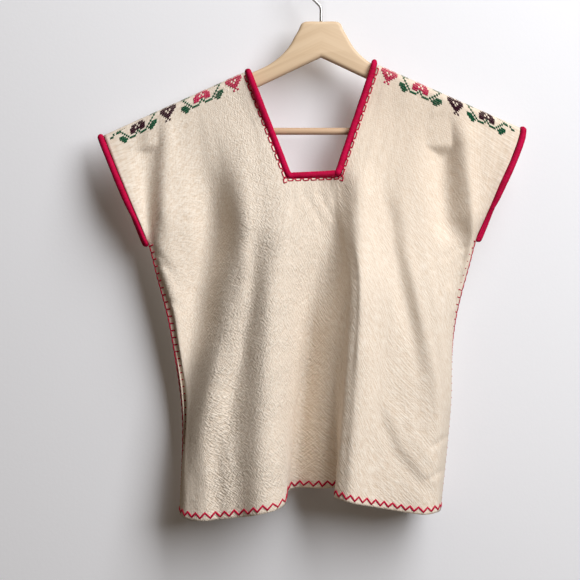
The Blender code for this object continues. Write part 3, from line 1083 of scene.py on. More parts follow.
    def normal(self, across: np.ndarray, down: np.ndarray) -> np.ndarray:
        """Find the directions out of the cloth.

        Args:
            across: Places in fold lines.
            down: Places from the shoulder fold.

        Returns:
            Unit directions, one row for each place.
        """
        right = self.hang(np.minimum(across + self.probe_across, self.last), down)
        left = self.hang(np.maximum(across - self.probe_across, 0.0), down)
        low = self.hang(across, np.minimum(down + self.probe_down, self.length))
        high = self.hang(across, np.maximum(down - self.probe_down, 0.0))
        out = np.cross(right - left, high - low)
        out *= -self.side
        return out / np.linalg.norm(out, axis=1)[:, None]

    def below_fold(self, drop: np.ndarray) -> np.ndarray:
        """Give the way down the cloth to places that lie this far below the shoulder fold."""
        turn = np.arccos(np.clip(1.0 - drop / self.arm_wrap, 0.0, 1.0))
        return self.arm_wrap * turn + np.maximum(drop - self.arm_wrap, 0.0)

    def flat_width(self) -> np.ndarray:
        """Measure the cloth along the chest.

        Returns:
            The place of each fold line on the flat cut, in metres from the left seam.
        """
        fine = np.linspace(0.0, self.last, self.last * 12 + 1)
        chest = self.hang(fine, np.full(fine.size, self.levels[2]))
        steps = np.linalg.norm(np.diff(chest, axis=0), axis=1)
        run = np.concatenate(([0.0], np.cumsum(steps)))
        share = np.interp(np.arange(self.last + 1.0), fine, run / run[-1])
        return share * self.width * MM

    def flat(self, across: np.ndarray, down: np.ndarray) -> np.ndarray:
        """Give the place on the flat cut, in metres."""
        u = np.interp(across, np.arange(self.last + 1.0), self.spread)
        return np.stack((u, down * MM), axis=1)

    def step_across(
        self, start: float, down: np.ndarray, reach: np.ndarray, outward: float
    ) -> np.ndarray:
        """Find the fold places that lie some way along the cloth's rows.

        Args:
            start: The fold place to start from.
            down: The rows, one for each place.
            reach: The way to go in mm, one for each place.
            outward: 1 to go right, -1 to go left.

        Returns:
            The fold places.
        """
        steps = np.arange(0.0, 7.0, 0.05)
        at = np.clip(start + outward * steps, 0.0, self.last)
        ways = np.array([self.hang(np.full(len(down), spot), down) for spot in at])
        gaps = np.linalg.norm(np.diff(ways, axis=0), axis=2)
        run = np.concatenate((np.zeros((1, len(down))), np.cumsum(gaps, axis=0)))
        run += np.arange(len(at))[:, None] * 1e-9
        return np.array([np.interp(reach[i], run[:, i], at) for i in range(len(down))])


@dataclass
class ClothHalf:
    """Front or back of the blouse as thin cloth."""

    name: str
    node: str
    cloth: HangingCloth
    columns_per_fold: int = 8
    rows_at_fold: int = 14
    rows_in_yoke: int = 56
    rows_in_body: int = 150
    fold_end: float = 18.0
    wall: float = 0.0008

    def rows(self) -> np.ndarray:
        """Space the rows of the grid.

        Returns:
            The way down the cloth to each row, in mm.
        """
        slit = self.cloth.depth_of_slit
        wrap = np.linspace(0.0, self.fold_end, self.rows_at_fold, endpoint=False)
        yoke = np.linspace(self.fold_end, slit, self.rows_in_yoke, endpoint=False)
        body = np.linspace(slit, self.cloth.length, self.rows_in_body + 1)
        return np.concatenate((wrap, yoke, body))

    def build(self, finish: bpy.types.Material) -> bpy.types.Object:
        """Hang the cloth, cut its neck slit and give it its thickness.

        Args:
            finish: Its material.

        Returns:
            The piece.
        """
        rows = self.rows()
        cloth = self.cloth
        slit_row = self.rows_at_fold + self.rows_in_yoke
        left, right = (edge * self.columns_per_fold for edge in cloth.neck)

        def shape(column: np.ndarray, row: np.ndarray) -> tuple[np.ndarray, np.ndarray]:
            """Hang the grid's points."""
            across = column / self.columns_per_fold
            down = rows[row.astype(int)]
            return cloth.point(across, down), cloth.flat(across, down)

        def cut(column: float, row: float) -> bool:
            """Say whether a face lies in the neck slit."""
            return left < column < right and row < slit_row

        columns = cloth.last * self.columns_per_fold
        mesh = grid_mesh(self.name, columns, len(rows) - 1, shape, cut)
        if cloth.side < 0.0:
            mesh.flip_normals()
        item = finished(self.name, mesh, [finish], "cloth", self.node)
        shell = item.modifiers.new("wall", "SOLIDIFY")
        shell.thickness = self.wall
        shell.offset = 0.0
        return item


class StitchBars:
    """Many short raised stitches joined in one mesh."""

    end_arch = 0.12
    end_width = 0.55
    top_width = 0.7
    foot_in_cloth = 0.15

    def __init__(self, cuts: int = 1) -> None:
        """Shape one stitch, a bar along X that is arched and thinner at its ends.

        Args:
            cuts: Cuts across its length.
        """
        bar = bmesh.new()
        bmesh.ops.create_cube(bar, size=1.0)
        spans = [(edge, edge.verts[0].co - edge.verts[1].co) for edge in bar.edges]
        long_edges = [edge for edge, span in spans if abs(span.x) > 0.5]
        bmesh.ops.subdivide_edges(bar, edges=long_edges, cuts=cuts, use_grid_fill=False)
        corners = []
        for vert in bar.verts:
            t = vert.co.x + 0.5
            arch = math.sin(math.pi * (self.end_arch + (1.0 - 2.0 * self.end_arch) * t))
            width = vert.co.y * (self.end_width + (1.0 - self.end_width) * arch)
            width *= self.top_width if vert.co.z > 0.0 else 1.0
            corners.append((t, width, (vert.co.z + 0.5 - self.foot_in_cloth) * arch))
        bar.verts.index_update()
        bmesh.ops.recalc_face_normals(bar, faces=bar.faces)
        self.corners = np.array(corners)
        self.faces = np.array([[vert.index for vert in face.verts] for face in bar.faces])
        bar.free()
        self.starts: list[np.ndarray] = []
        self.ends: list[np.ndarray] = []
        self.ups: list[np.ndarray] = []
        self.sizes: list[np.ndarray] = []
        self.threads: list[np.ndarray] = []

    def add(
        self, starts: Rows, ends: Rows, ups: Rows, width: float, height: float, thread: int = 0
    ) -> None:
        """Add stitches.

        Args:
            starts: Their first ends, in metres, one row each.
            ends: Their other ends.
            ups: Directions away from the cloth.
            width: Their width in mm.
            height: Their height in mm.
            thread: Number of their material.
        """
        rows = [np.asarray(part, dtype=float).reshape(-1, 3) for part in (starts, ends, ups)]
        for kept, part in zip((self.starts, self.ends, self.ups), rows):
            kept.append(part)
        count = len(rows[0])
        self.sizes.append(np.tile((width * MM, height * MM), (count, 1)))
        self.threads.append(np.full(count, thread))

    def mesh(self, name: str) -> bpy.types.Mesh:
        """Join all stitches into one mesh.

        Args:
            name: The mesh's name.

        Returns:
            The mesh.
        """
        starts, ends, ups = (np.concatenate(part) for part in (self.starts, self.ends, self.ups))
        sizes, threads = np.concatenate(self.sizes), np.concatenate(self.threads)
        ways = ends - starts
        sides = np.cross(ups, ways)
        sides /= np.linalg.norm(sides, axis=1)[:, None]
        ups = np.cross(ways, sides)
        ups /= np.linalg.norm(ups, axis=1)[:, None]
        t, s, h = self.corners.T
        places = (
            starts[:, None]
            + ways[:, None] * t[None, :, None]
            + sides[:, None] * s[None, :, None] * sizes[:, 0, None, None]
            + ups[:, None] * h[None, :, None] * sizes[:, 1, None, None]
        )
        count = len(starts)
        faces = self.faces[None] + np.arange(count)[:, None, None] * len(self.corners)
        mesh = bpy.data.meshes.new(name)
        mesh.from_pydata(places.reshape(-1, 3), [], faces.reshape(-1, self.faces.shape[1]))
        indices = np.repeat(threads, len(self.faces)).astype(np.int32)
        mesh.polygons.foreach_set("material_index", indices)
        mesh.shade_smooth()
        return mesh


@dataclass
class ShoulderBand:
    """The cross-stitched band of hearts and vines along both shoulders of one half.

    Lengths are in mm: pitch along the fold, fall of each row as it is seen.
    """

    cloth: HangingCloth
    pitch: float = 2.53
    fall: float = 2.4
    first: float = 4.7
    top: float = 1.1
    thick: float = 1.45
    high: float = 0.7
    lifts: tuple[float, float] = (0.54, 0.42)
    edge: float = 0.02
    flowers: tuple[Thread, ...] = (Thread.ROSE, Thread.PLUM)
    end_overlap: int = 4

    def spots(self) -> dict[Thread, list[tuple[int, int]]]:
        """Read the charts.

        Returns:
            The columns and rows of the crosses, by thread.
        """
        crosses: dict[Thread, list[tuple[int, int]]] = {thread: [] for thread in Thread}
        wide = len(BAND_CHART[0])
        charts = [(BAND_CHART, wide * number, own) for number, own in enumerate(self.flowers)]
        charts.append((END_CHART, wide * len(self.flowers) - self.end_overlap, Thread.GREEN))
        for chart, start, own in charts:
            for row, line in enumerate(chart):
                for column, letter in enumerate(line):
                    if letter != ".":
                        thread = own if letter == "F" else Thread(letter)
                        crosses[thread].append((start + column, row))
        return crosses

    def build(self, name: str, finishes: list[bpy.types.Material]) -> bpy.types.Object:
        """Stitch the band on both shoulders.

        Args:
            name: The piece's name.
            finishes: A material for each thread.

        Returns:
            The piece.
        """
        bars = StitchBars(cuts=1)
        for number, spots in enumerate(self.spots().values()):
            grid = np.array(spots, dtype=float)
            for start, outward in zip(self.cloth.neck, (-1.0, 1.0)):
                for lean, lift in zip((1.0, -1.0), self.lifts):
                    first = self.ends(grid, start, outward, lean, -1.0)
                    other = self.ends(grid, start, outward, lean, 1.0)
                    self.stitch(bars, first, other, lift, number)
        return finished(name, bars.mesh(name), finishes, "binding")

    def ends(
        self, grid: np.ndarray, start: int, outward: float, lean: float, sign: float
    ) -> tuple[np.ndarray, np.ndarray]:
        """Place one end of one leg of every cross.

        Args:
            grid: Columns and rows of the crosses.
            start: The fold line at the neck's edge.
            outward: 1 to go right from the neck, -1 to go left.
            lean: 1 for the leg that falls outward, -1 for the other.
            sign: -1 for the end next to the neck, 1 for the other end.

        Returns:
            The ends' places across and down the cloth.
        """
        reach = self.first + (grid[:, 0] + 0.5 * sign) * self.pitch
        drop = self.top + (grid[:, 1] + 0.5 * lean * sign) * self.fall
        edge_x = float(self.cloth.read("shoulder_x", np.array([float(start)]))[0])
        return self.across(edge_x, reach, outward), self.cloth.below_fold(drop)

    def stitch(
        self, bars: StitchBars, first: tuple, other: tuple, lift: float, number: int
    ) -> None:
        """Lay one leg of every cross that is on the cloth.

        Args:
            bars: The stitches so far.
            first: Places of one end, across and down.
            other: Places of the other end.
            lift: Height above the cloth.
            number: Number of the thread.
        """
        cloth = self.cloth
        nearest = np.minimum(first[0], other[0])
        furthest = np.maximum(first[0], other[0])
        keep = (nearest > self.edge) & (furthest < cloth.last - self.edge)
        (a0, d0), (a1, d1) = ((a[keep], d[keep]) for a, d in (first, other))
        up = cloth.normal(0.5 * (a0 + a1), 0.5 * (d0 + d1))
        over = up * lift * MM
        low, high = cloth.point(a0, d0) + over, cloth.point(a1, d1) + over
        bars.add(low, high, up, self.thick, self.high, number)

    def across(self, edge_x: float, reach: np.ndarray, outward: float) -> np.ndarray:
        """Find fold places by their way along the shoulder fold.

        Args:
            edge_x: The neck's edge on the shoulder.
            reach: Ways from there, along the fold.
            outward: 1 to go right, -1 to go left.

        Returns:
            The places across the cloth.
        """
        fine = np.linspace(0.0, self.cloth.last, 961)
        x = self.cloth.read("shoulder_x", fine)
        fall = self.cloth.shoulders[0][2]
        run = np.abs(x - edge_x) * math.sqrt(1.0 + fall * fall)
        side = (x - edge_x) * outward > -1e-6
        order = np.argsort(run[side])
        return np.interp(reach, run[side][order], fine[side][order])


@dataclass
class NeckBorder:
    """The line of stepped crimson stitches round the neck slit, just outside its binding, in mm."""

    cloth: HangingCloth
    inner: float = 0.1
    outer: float = 2.4
    side_pitch: float = 12.2
    side_dash: float = 7.8
    foot_pitch: float = 10.4
    foot_dash: float = 6.2
    above_foot: float = 3.0
    corner: float = 3.8
    corner_top: float = -1.5
    thick: float = 1.6
    high: float = 1.1

    def build(self, name: str, finish: bpy.types.Material) -> bpy.types.Object:
        """Sew the steps down both sides, along the foot of the slit and round its corners.

        Args:
            name: The piece's name.
            finish: Its material.

        Returns:
            The piece.
        """
        bars = StitchBars(cuts=2)
        self.sides(bars)
        self.foot(bars)
        for start, outward in zip(self.cloth.neck, (-1.0, 1.0)):
            reach = np.array([self.inner, self.corner, self.corner, self.inner])
            below = (self.corner, self.corner, self.corner_top, self.corner_top)
            down = self.cloth.depth_of_slit + np.array(below)
            across = self.cloth.step_across(float(start), down, reach, outward)
            self.sew(bars, across, down)
        return finished(name, bars.mesh(name), [finish], "binding")

    def sides(self, bars: StitchBars) -> None:
        """Sew the steps down both sides of the slit.

        Args:
            bars: The stitches so far.
        """
        depth = self.cloth.depth_of_slit
        cells = int((depth - 2.0 * self.above_foot) / self.side_pitch)
        for start, outward in zip(self.cloth.neck, (-1.0, 1.0)):
            for cell in range(cells):
                low = depth - self.above_foot - cell * self.side_pitch - self.side_dash
                high = low + self.side_dash
                below = low + self.side_pitch
                reach = np.array([self.inner, self.outer, self.outer, self.inner, self.inner])
                down = np.maximum([low, low, high, high, below], 0.5)
                if not cell:
                    reach, down = reach[:-1], down[:-1]
                across = self.cloth.step_across(float(start), down, reach, outward)
                self.sew(bars, across, down)

    def foot(self, bars: StitchBars) -> None:
        """Sew the steps along the foot of the slit.

        Args:
            bars: The stitches so far.
        """
        cloth = self.cloth
        depth = cloth.depth_of_slit
        fine = np.linspace(*cloth.neck, 200)
        foot = cloth.hang(fine, np.full(200, depth))
        run = np.concatenate(([0.0], np.cumsum(np.linalg.norm(np.diff(foot, axis=0), axis=1))))
        cells = int(round(run[-1] / self.foot_pitch))
        pitch = run[-1] / cells
        for cell in range(cells):
            start = (cell + 0.5) * pitch - 0.5 * self.foot_dash
            ways = start + np.array([0.0, 0.0, self.foot_dash, self.foot_dash, pitch])
            ways = np.minimum(ways, run[-1])
            across = np.interp(ways, run, fine)
            down = depth + np.array([self.inner, self.outer, self.outer, self.inner, self.inner])
            self.sew(bars, across, down)

    def sew(self, bars: StitchBars, across: np.ndarray, down: np.ndarray) -> None:
        """Lay stitches from each flat place to the next.

        Args:
            bars: The stitches so far.
            across: Places in fold lines.
            down: Places from the shoulder fold.
        """
        up = self.cloth.normal(across, down)
        spots = self.cloth.point(across, down) + up * 0.5 * MM
        ways = spots[1:] - spots[:-1]
        over = 0.4 * self.thick * MM * ways / np.linalg.norm(ways, axis=1)[:, None]
        middle = 0.5 * (up[:-1] + up[1:])
        bars.add(spots[:-1] - over, spots[1:] + over, middle, self.thick, self.high)


@dataclass
class HemStitch:
    """The crimson zigzag that holds the hem, in mm from the hem's edge."""

    cloth: HangingCloth
    low: float = 3.4
    middle: float = 6.0
    high: float = 9.8
    margin: float = 2.0
    pitches: tuple[float, float] = (13.6, 11.4)
    uneven: tuple[float, float] = (1.6, 0.9)
    overlap: float = 0.10
    thick: float = 2.7
    raised: float = 1.1

    def build(self, name: str, finish: bpy.types.Material) -> bpy.types.Object:
        """Sew the zigzag from seam to seam.

        Args:
            name: The piece's name.
            finish: Its material.

        Returns:
            The piece.
        """
        cloth = self.cloth
        bars = StitchBars(cuts=2)
        fine = np.linspace(0.0, cloth.last, 1200)
        down = np.full(fine.size, cloth.length - self.middle)
        way = cloth.hang(fine, down)
        run = np.concatenate(([0.0], np.cumsum(np.linalg.norm(np.diff(way, axis=0), axis=1))))
        mean = 0.5 * sum(self.pitches)
        count = int(round(run[-1] / mean * 2.0))
        share = np.linspace(0.0, 1.0, count + 1)
        share = share + (self.pitches[0] / mean - 1.0) * share * (1.0 - share)
        turns = self.margin + (run[-1] - 2.0 * self.margin) * share
        wobble = np.array([noise.noise(Vector((turn * 0.37, 4.0, 1.0))) for turn in turns])
        turns = turns + self.uneven[0] * wobble
        across = np.interp(turns, run, fine)
        depth = cloth.length - np.where(np.arange(count + 1) % 2 == 0, self.low, self.high)
        depth = depth + self.uneven[1] * wobble[::-1]
        up = cloth.normal(across, depth)
        spots = cloth.point(across, depth) + up * 0.5 * MM
        reach = self.overlap * (spots[1:] - spots[:-1])
        middle = 0.5 * (up[:-1] + up[1:])
        bars.add(spots[:-1] - reach, spots[1:] + reach, middle, self.thick, self.raised)
        return finished(name, bars.mesh(name), [finish], "binding")


@dataclass
class SeamStitch:
    """The crimson blanket stitch that closes one side seam, which rolls a little to the front.

    Lengths are in mm; a roll gives the seam's way in on the front at places down the cloth.
    """

    front: HangingCloth
    back: HangingCloth
    right: bool
    pitch: float = 11.0
    tick: float = 7.0
    back_tick: float = 0.6
    tick_drop: float = 1.0
    thick: float = 2.0
    ends: tuple[float, float] = (6.0, 3.0)
    raised: float = 0.6
    left_roll: tuple[tuple[float, float], ...] = (
        (156, 2.5), (185, 3.8), (400, 4.2), (460, 5.5), (510, 2.5),
    )
    right_roll: tuple[tuple[float, float], ...] = (
        (156, 5.0), (185, 9.0), (240, 9.3), (275, 4.0), (320, 2.0),
    )

    def build(self, name: str, finish: bpy.types.Material) -> bpy.types.Object:
        """Sew the spine beside the seam and the ticks over both halves.

        Args:
            name: The piece's name.
            finish: Its material.

        Returns:
            The piece.
        """
        bars = StitchBars(cuts=2)
        outward = 1.0 if self.right else -1.0
        start = self.front.depth_of_slit + self.ends[0]
        downs = np.arange(start, self.front.length - self.ends[1], self.pitch)
        roll = np.array(self.right_roll if self.right else self.left_roll)
        reach = np.interp(downs, roll[:, 0], roll[:, 1])
        spine, up = self.sewn(self.front, downs, reach)
        low = downs + self.tick_drop
        tips, tip_up = self.sewn(self.front, low, reach + self.tick)
        bars.add(spine, tips, 0.5 * (up + tip_up), self.thick, 1.1)
        bars.add(spine[:-1], spine[1:], 0.5 * (up[:-1] + up[1:]), self.thick, 1.2)
        seam, _ = self.sewn(self.front, downs, np.zeros(len(downs)))
        seam[:, 0] += self.raised * outward * MM
        sideways = np.tile((outward, 0.0, 0.0), (len(downs), 1))
        bars.add(spine, seam, sideways, self.thick, 1.0)
        tips, tip_up = self.sewn(self.back, low, np.full(len(downs), self.back_tick * self.tick))
        bars.add(seam, tips, 0.5 * (sideways + tip_up), self.thick, 1.0)
        return finished(name, bars.mesh(name), [finish], "binding")

    def sewn(
        self, cloth: HangingCloth, downs: np.ndarray, reach: np.ndarray
    ) -> tuple[np.ndarray, np.ndarray]:
        """Place thread on the cloth beside the seam.

        Args:
            cloth: The front or the back.
            downs: Places from the shoulder fold.
            reach: The way in from the seam at each of them.

        Returns:
            The places in metres and the directions out of the cloth.
        """
        edge = float(cloth.last) if self.right else 0.0
        across = cloth.step_across(edge, downs, reach, -1.0 if self.right else 1.0)
        up = cloth.normal(across, downs)
        return cloth.point(across, downs) + up * self.raised * MM, up


@dataclass
class HemTufts:
    """Loose cream thread ends at the two lower corners."""

    front: HangingCloth
    length: float = 8.0
    thick: float = 0.5
    count: int = 16
    first_turn: float = -150.0
    turn_step: float = 13.0

    def build(self, name: str, finish: bpy.types.Material) -> bpy.types.Object:
        """Lay the thread ends in an even fan with uneven lengths.

        Args:
            name: The piece's name.
            finish: Its material.

        Returns:
            The piece.
        """
        bars = StitchBars(cuts=2)
        for edge, outward in ((0.02, -1.0), (self.front.last - 0.02, 1.0)):
            root = self.front.point(np.array([edge]), np.array([self.front.length - 1.0]))[0]
            for number in range(self.count):
                uneven = noise.noise(Vector((number * 1.7, outward, 5.0)))
                turn = math.radians(self.first_turn + self.turn_step * number + 20.0 * uneven)
                reach = self.length * (0.7 + 0.6 * uneven) * MM
                aside, ahead = outward * math.sin(-turn) * 0.6, 0.35 * math.sin(3.1 * number)
                way = np.array((aside, ahead, math.cos(turn)))
                base = root + np.array((0.0, 0.0, 0.4 * number % 3.0)) * MM
                bars.add(base, base + way * reach, (0.0, -1.0, 0.2), self.thick, self.thick)
        return finished(name, bars.mesh(name), [finish], "cloth")


@dataclass
class Bindings:
    """The satin-wound rolled edges of the neck slit and the armholes, in mm.

    The front of an armhole's roll thins towards the underarm, the right one more than the left.
    """

    front: HangingCloth
    back: HangingCloth
    neck_radius: float = 4.2
    arm_radius: float = 4.2
    gap: float = 0.8
    step: float = 0.9
    sides: int = 12
    rises: tuple[float, float] = (1.4, 4.0)
    slimmer_on_fold: float = 0.12
    inside_until: tuple[float, float] = (42.0, 90.0)
    thins: tuple[float, float] = (0.4, 0.72)
    thin_down: tuple[float, float] = (85.0, 142.0)
    uneven: float = 0.05
    downs: tuple[float, ...] = (4.0, 8.0, 12.0, 16.0, 26.0, 42.0, 70.0, 98.0, 126.0, 146.0)
    arm_downs: tuple[float, ...] = (4, 8, 14, 26, 42, 60, 80, 100, 120, 138, 150)

    def neck_path(self) -> np.ndarray:
        """Follow the neck's cut edge once round.

        Returns:
            Rows of x, y, z and a share of the radius.
        """
        loop = []
        offset = self.neck_radius + self.gap
        depth = HangingCloth.depth_of_slit
        for cloth in (self.front, self.back):
            left, right = cloth.neck
            slit = [(left, down, 1.0, 0.0) for down in self.downs]
            slit.append((left + 0.12, depth, 0.6, 0.95))
            slit += [(at, depth, 0.0, 1.0) for at in np.linspace(left + 0.6, right - 0.6, 9)]
            slit.append((right - 0.12, depth, -0.6, 0.95))
            slit += [(right, down, -1.0, 0.0) for down in (*self.downs[::-1], 0.0)]
            if cloth is self.back:
                slit = [(left, 0.0, 1.0, 0.0)] + slit[:-1]
                slit.reverse()
            for across, down, inward, upward in slit:
                loop.append(self.neck_point(cloth, across, down, (inward, upward), offset))
        loop.append(loop[0])
        return np.array(loop)

    def neck_point(
        self,
        cloth: HangingCloth,
        across: float,
        down: float,
        way: tuple[float, float],
        offset: float,
    ) -> tuple[float, float, float, float]:
        """Place one point of the neck binding's centre line.

        Args:
            cloth: The front or the back.
            across: Its place in fold lines.
            down: Its place from the shoulder fold.
            way: The direction into the slit, as x and z.
            offset: The way from the cut edge to the centre line.

        Returns:
            Its x, y and z and a share of the radius.
        """
        x, y, z = cloth.hang(np.array([float(across)]), np.array([float(down)]))[0]
        turn = min(down / cloth.arm_wrap, QUARTER_TURN)
        proud = 1.0 - float(ease(*self.inside_until, np.array(down)))
        clear = (self.neck_radius - 0.4) * math.sin(turn) * proud
        y = cloth.side * clear + (y if down > 0.0 else 0.0)
        rise = {1.0: self.rises[0], -1.0: self.rises[1]}.get(way[0], 0.0) * math.cos(turn)
        share = 1.0 - self.slimmer_on_fold * math.cos(turn)
        return x + way[0] * offset, y, z + way[1] * offset + rise, share

    def arm_path(self, right: bool) -> np.ndarray:
        """Follow one armhole's cut edge once round.

        Args:
            right: Whether it is the right armhole.

        Returns:
            Rows of x, y, z and a share of the radius.
        """
        outward = 1.0 if right else -1.0
        offset = self.arm_radius + self.gap
        least = self.arm_radius + 0.15
        depth = HangingCloth.depth_of_slit
        downs = list(self.arm_downs)
        loop = []
        orders = (downs + [depth], [depth] + downs[::-1] + [0.0])
        for cloth, order in zip((self.front, self.back), orders):
            edge = cloth.last if right else 0
            for down in order:
                x, y, z = cloth.hang(np.array([float(edge)]), np.array([float(down)]))[0]
                away = max(abs(y), least)
                if down == depth:
                    away = 0.7 * least
                    z += 0.2 * offset
                if down == 0.0:
                    away = 0.0
                thin = float(ease(*self.thin_down, np.array(down)))
                hold = 1.0 - self.thins[right] * thin if cloth is self.front else 1.0
                beside = x + 0.92 * outward * offset * hold
                loop.append((beside, cloth.side * away, z - 0.4 * offset, hold))
        loop.append(loop[0])
        return np.array(loop)

    def roll(
        self, name: str, path: np.ndarray, radius: float, node: str, finish: bpy.types.Material
    ) -> bpy.types.Object:
        """Wind one binding.

        Args:
            name: The piece's name.
            path: Rows of x, y, z and a share of the radius.
            radius: Its radius.
            node: The CAD node that it replaces.
            finish: Its material.

        Returns:
            The piece.
        """
        step = self.step * MM
        way = resample(path * np.array((MM, MM, MM, 1.0)), step)
        along = np.arange(len(way)) * step
        uneven = np.array([noise.noise(Vector((at * 90.0, 2.0, radius))) for at in along])
        wound = np.array([noise.noise(Vector((at * 700.0, 7.0, radius))) for at in along])
        radii = radius * MM * way[:, 3] * (1.0 + self.uneven * (uneven + wound))
        radii[-1] = radii[0]
        mesh = tube_mesh(name, way[:, :3], radii, self.sides, True)
        return finished(name, mesh, [finish], "binding", node)

    def build(self, finish: bpy.types.Material) -> list[bpy.types.Object]:
        """Wind all three bindings.

        Args:
            finish: Their material.

        Returns:
            The neck's and the two armholes' rolls.
        """
        neck = self.roll("neck_roll", self.neck_path(), self.neck_radius, "neck_binding", finish)
        rolls = [neck]
        for side, right in (("left", False), ("right", True)):
            path = self.arm_path(right)
            node = f"armhole_binding_{side}"
            rolls.append(self.roll(f"armhole_roll_{side}", path, self.arm_radius, node, finish))
        return rolls


@dataclass
class Hanger:
    """The wooden arms with their hump, the round bar and the wire hook, in mm and degrees."""

    thickness: float = 12.0
    edge: float = 4.8
    outline_step: float = 3.2
    bar_radius: float = 4.7
    bar_height: float = -219.6
    bar_end: float = 183.7
    wire_radius: float = 1.9
    wire_step: float = 1.5
    hook_radius: float = 23.0
    hook_start: float = 225.0
    hook_turn: float = 250.0
    hump_top: float = -73.7
    top: tuple[tuple[float, float], ...] = (
        (0.0, -73.7), (20.0, -73.7), (26.0, -76.5), (30.0, -85.0), (35.0, -93.5),
        (41.0, -104.5), (47.0, -112.5), (55.0, -120.5), (64.0, -127.5), (76.0, -134.5),
        (160.0, -171.0), (209.0, -192.3),
    )
    end: tuple[tuple[float, float], ...] = (
        (218.0, -197.0), (220.0, -206.0), (217.0, -220.0), (208.0, -230.0), (194.0, -232.5),
    )
    under: tuple[tuple[float, float], ...] = (
        (184.0, -229.0), (184.0, -209.5), (160.0, -197.0), (80.0, -159.0), (14.0, -127.7),
        (0.0, -121.3),
    )

    def outline(self) -> np.ndarray:
        """Give the arms' outline as x and z."""
        half = resample(np.array(self.top + self.end + self.under), self.outline_step)
        return np.concatenate((half, half[-2:0:-1] * (-1.0, 1.0)))

    def arms(self, finish: bpy.types.Material) -> bpy.types.Object:
        """Saw the arms from a board and round their edges.

        Args:
            finish: Their material.

        Returns:
            The piece.
        """
        board = bmesh.new()
        half = 0.5 * self.thickness
        rim = [board.verts.new((x * MM, half * MM, z * MM)) for x, z in self.outline()]
        face = board.faces.new(rim)
        grown = bmesh.ops.extrude_face_region(board, geom=[face])
        moved = [part for part in grown["geom"] if isinstance(part, bmesh.types.BMVert)]
        bmesh.ops.translate(board, verts=moved, vec=(0.0, -self.thickness * MM, 0.0))
        bmesh.ops.recalc_face_normals(board, faces=board.faces)
        spans = [(edge, edge.verts[0].co - edge.verts[1].co) for edge in board.edges]
        rims = [edge for edge, span in spans if abs(span.y) < 1e-6]
        bmesh.ops.bevel(
            board, geom=rims, offset=self.edge * MM, offset_type="OFFSET", segments=5,
            profile=0.5, affect="EDGES", material=-1, clamp_overlap=False,
        )
        mesh = bpy.data.meshes.new("hanger_arms")
        board.to_mesh(mesh)
        board.free()
        mesh.shade_smooth()
        return finished("hanger_arms", mesh, [finish], "hanger_wood", "hanger_body")

    def bar(self, finish: bpy.types.Material) -> bpy.types.Object:
        """Turn the round bar.

        Args:
            finish: Its material.

        Returns:
            The piece.
        """
        left, right = ((side * self.bar_end, 0.0, self.bar_height) for side in (-1.0, 1.0))
        path = np.linspace(left, right, 60) * MM
        radii = np.full(len(path), self.bar_radius * MM)
        mesh = tube_mesh("round_bar", path, radii, 36, False)
        return finished("round_bar", mesh, [finish], "hanger_wood", "hanger_bar")

    def hook(self, finish: bpy.types.Material) -> bpy.types.Object:
        """Bend the wire from the hump up and over the hanging point.

        Args:
            finish: Its material.

        Returns:
            The piece.
        """
        centre = self.wire_radius - self.hook_radius
        start = math.radians(self.hook_start)
        foot = self.hook_radius * (math.cos(start) + math.sin(start)) + centre
        points = [(0.0, 0.0, self.hump_top + 0.3), (0.0, 0.0, 0.5 * (self.hump_top + foot))]
        points += [(0.0, 0.0, foot - 3.0), (-1.0, 0.0, foot + 0.3), (-3.4, 0.0, foot + 3.2)]
        for angle in start - np.radians(np.linspace(0.0, self.hook_turn, 31)):
            out, up = self.hook_radius * math.cos(angle), self.hook_radius * math.sin(angle)
            points.append((out, 0.0, centre + up))
        path = resample(np.array(points) * MM, self.wire_step * MM)
        radii = np.full(len(path), self.wire_radius * MM)
        mesh = tube_mesh("wire_hook", path, radii, 18, False)
        return finished("wire_hook", mesh, [finish], "hook_wire", "hook")


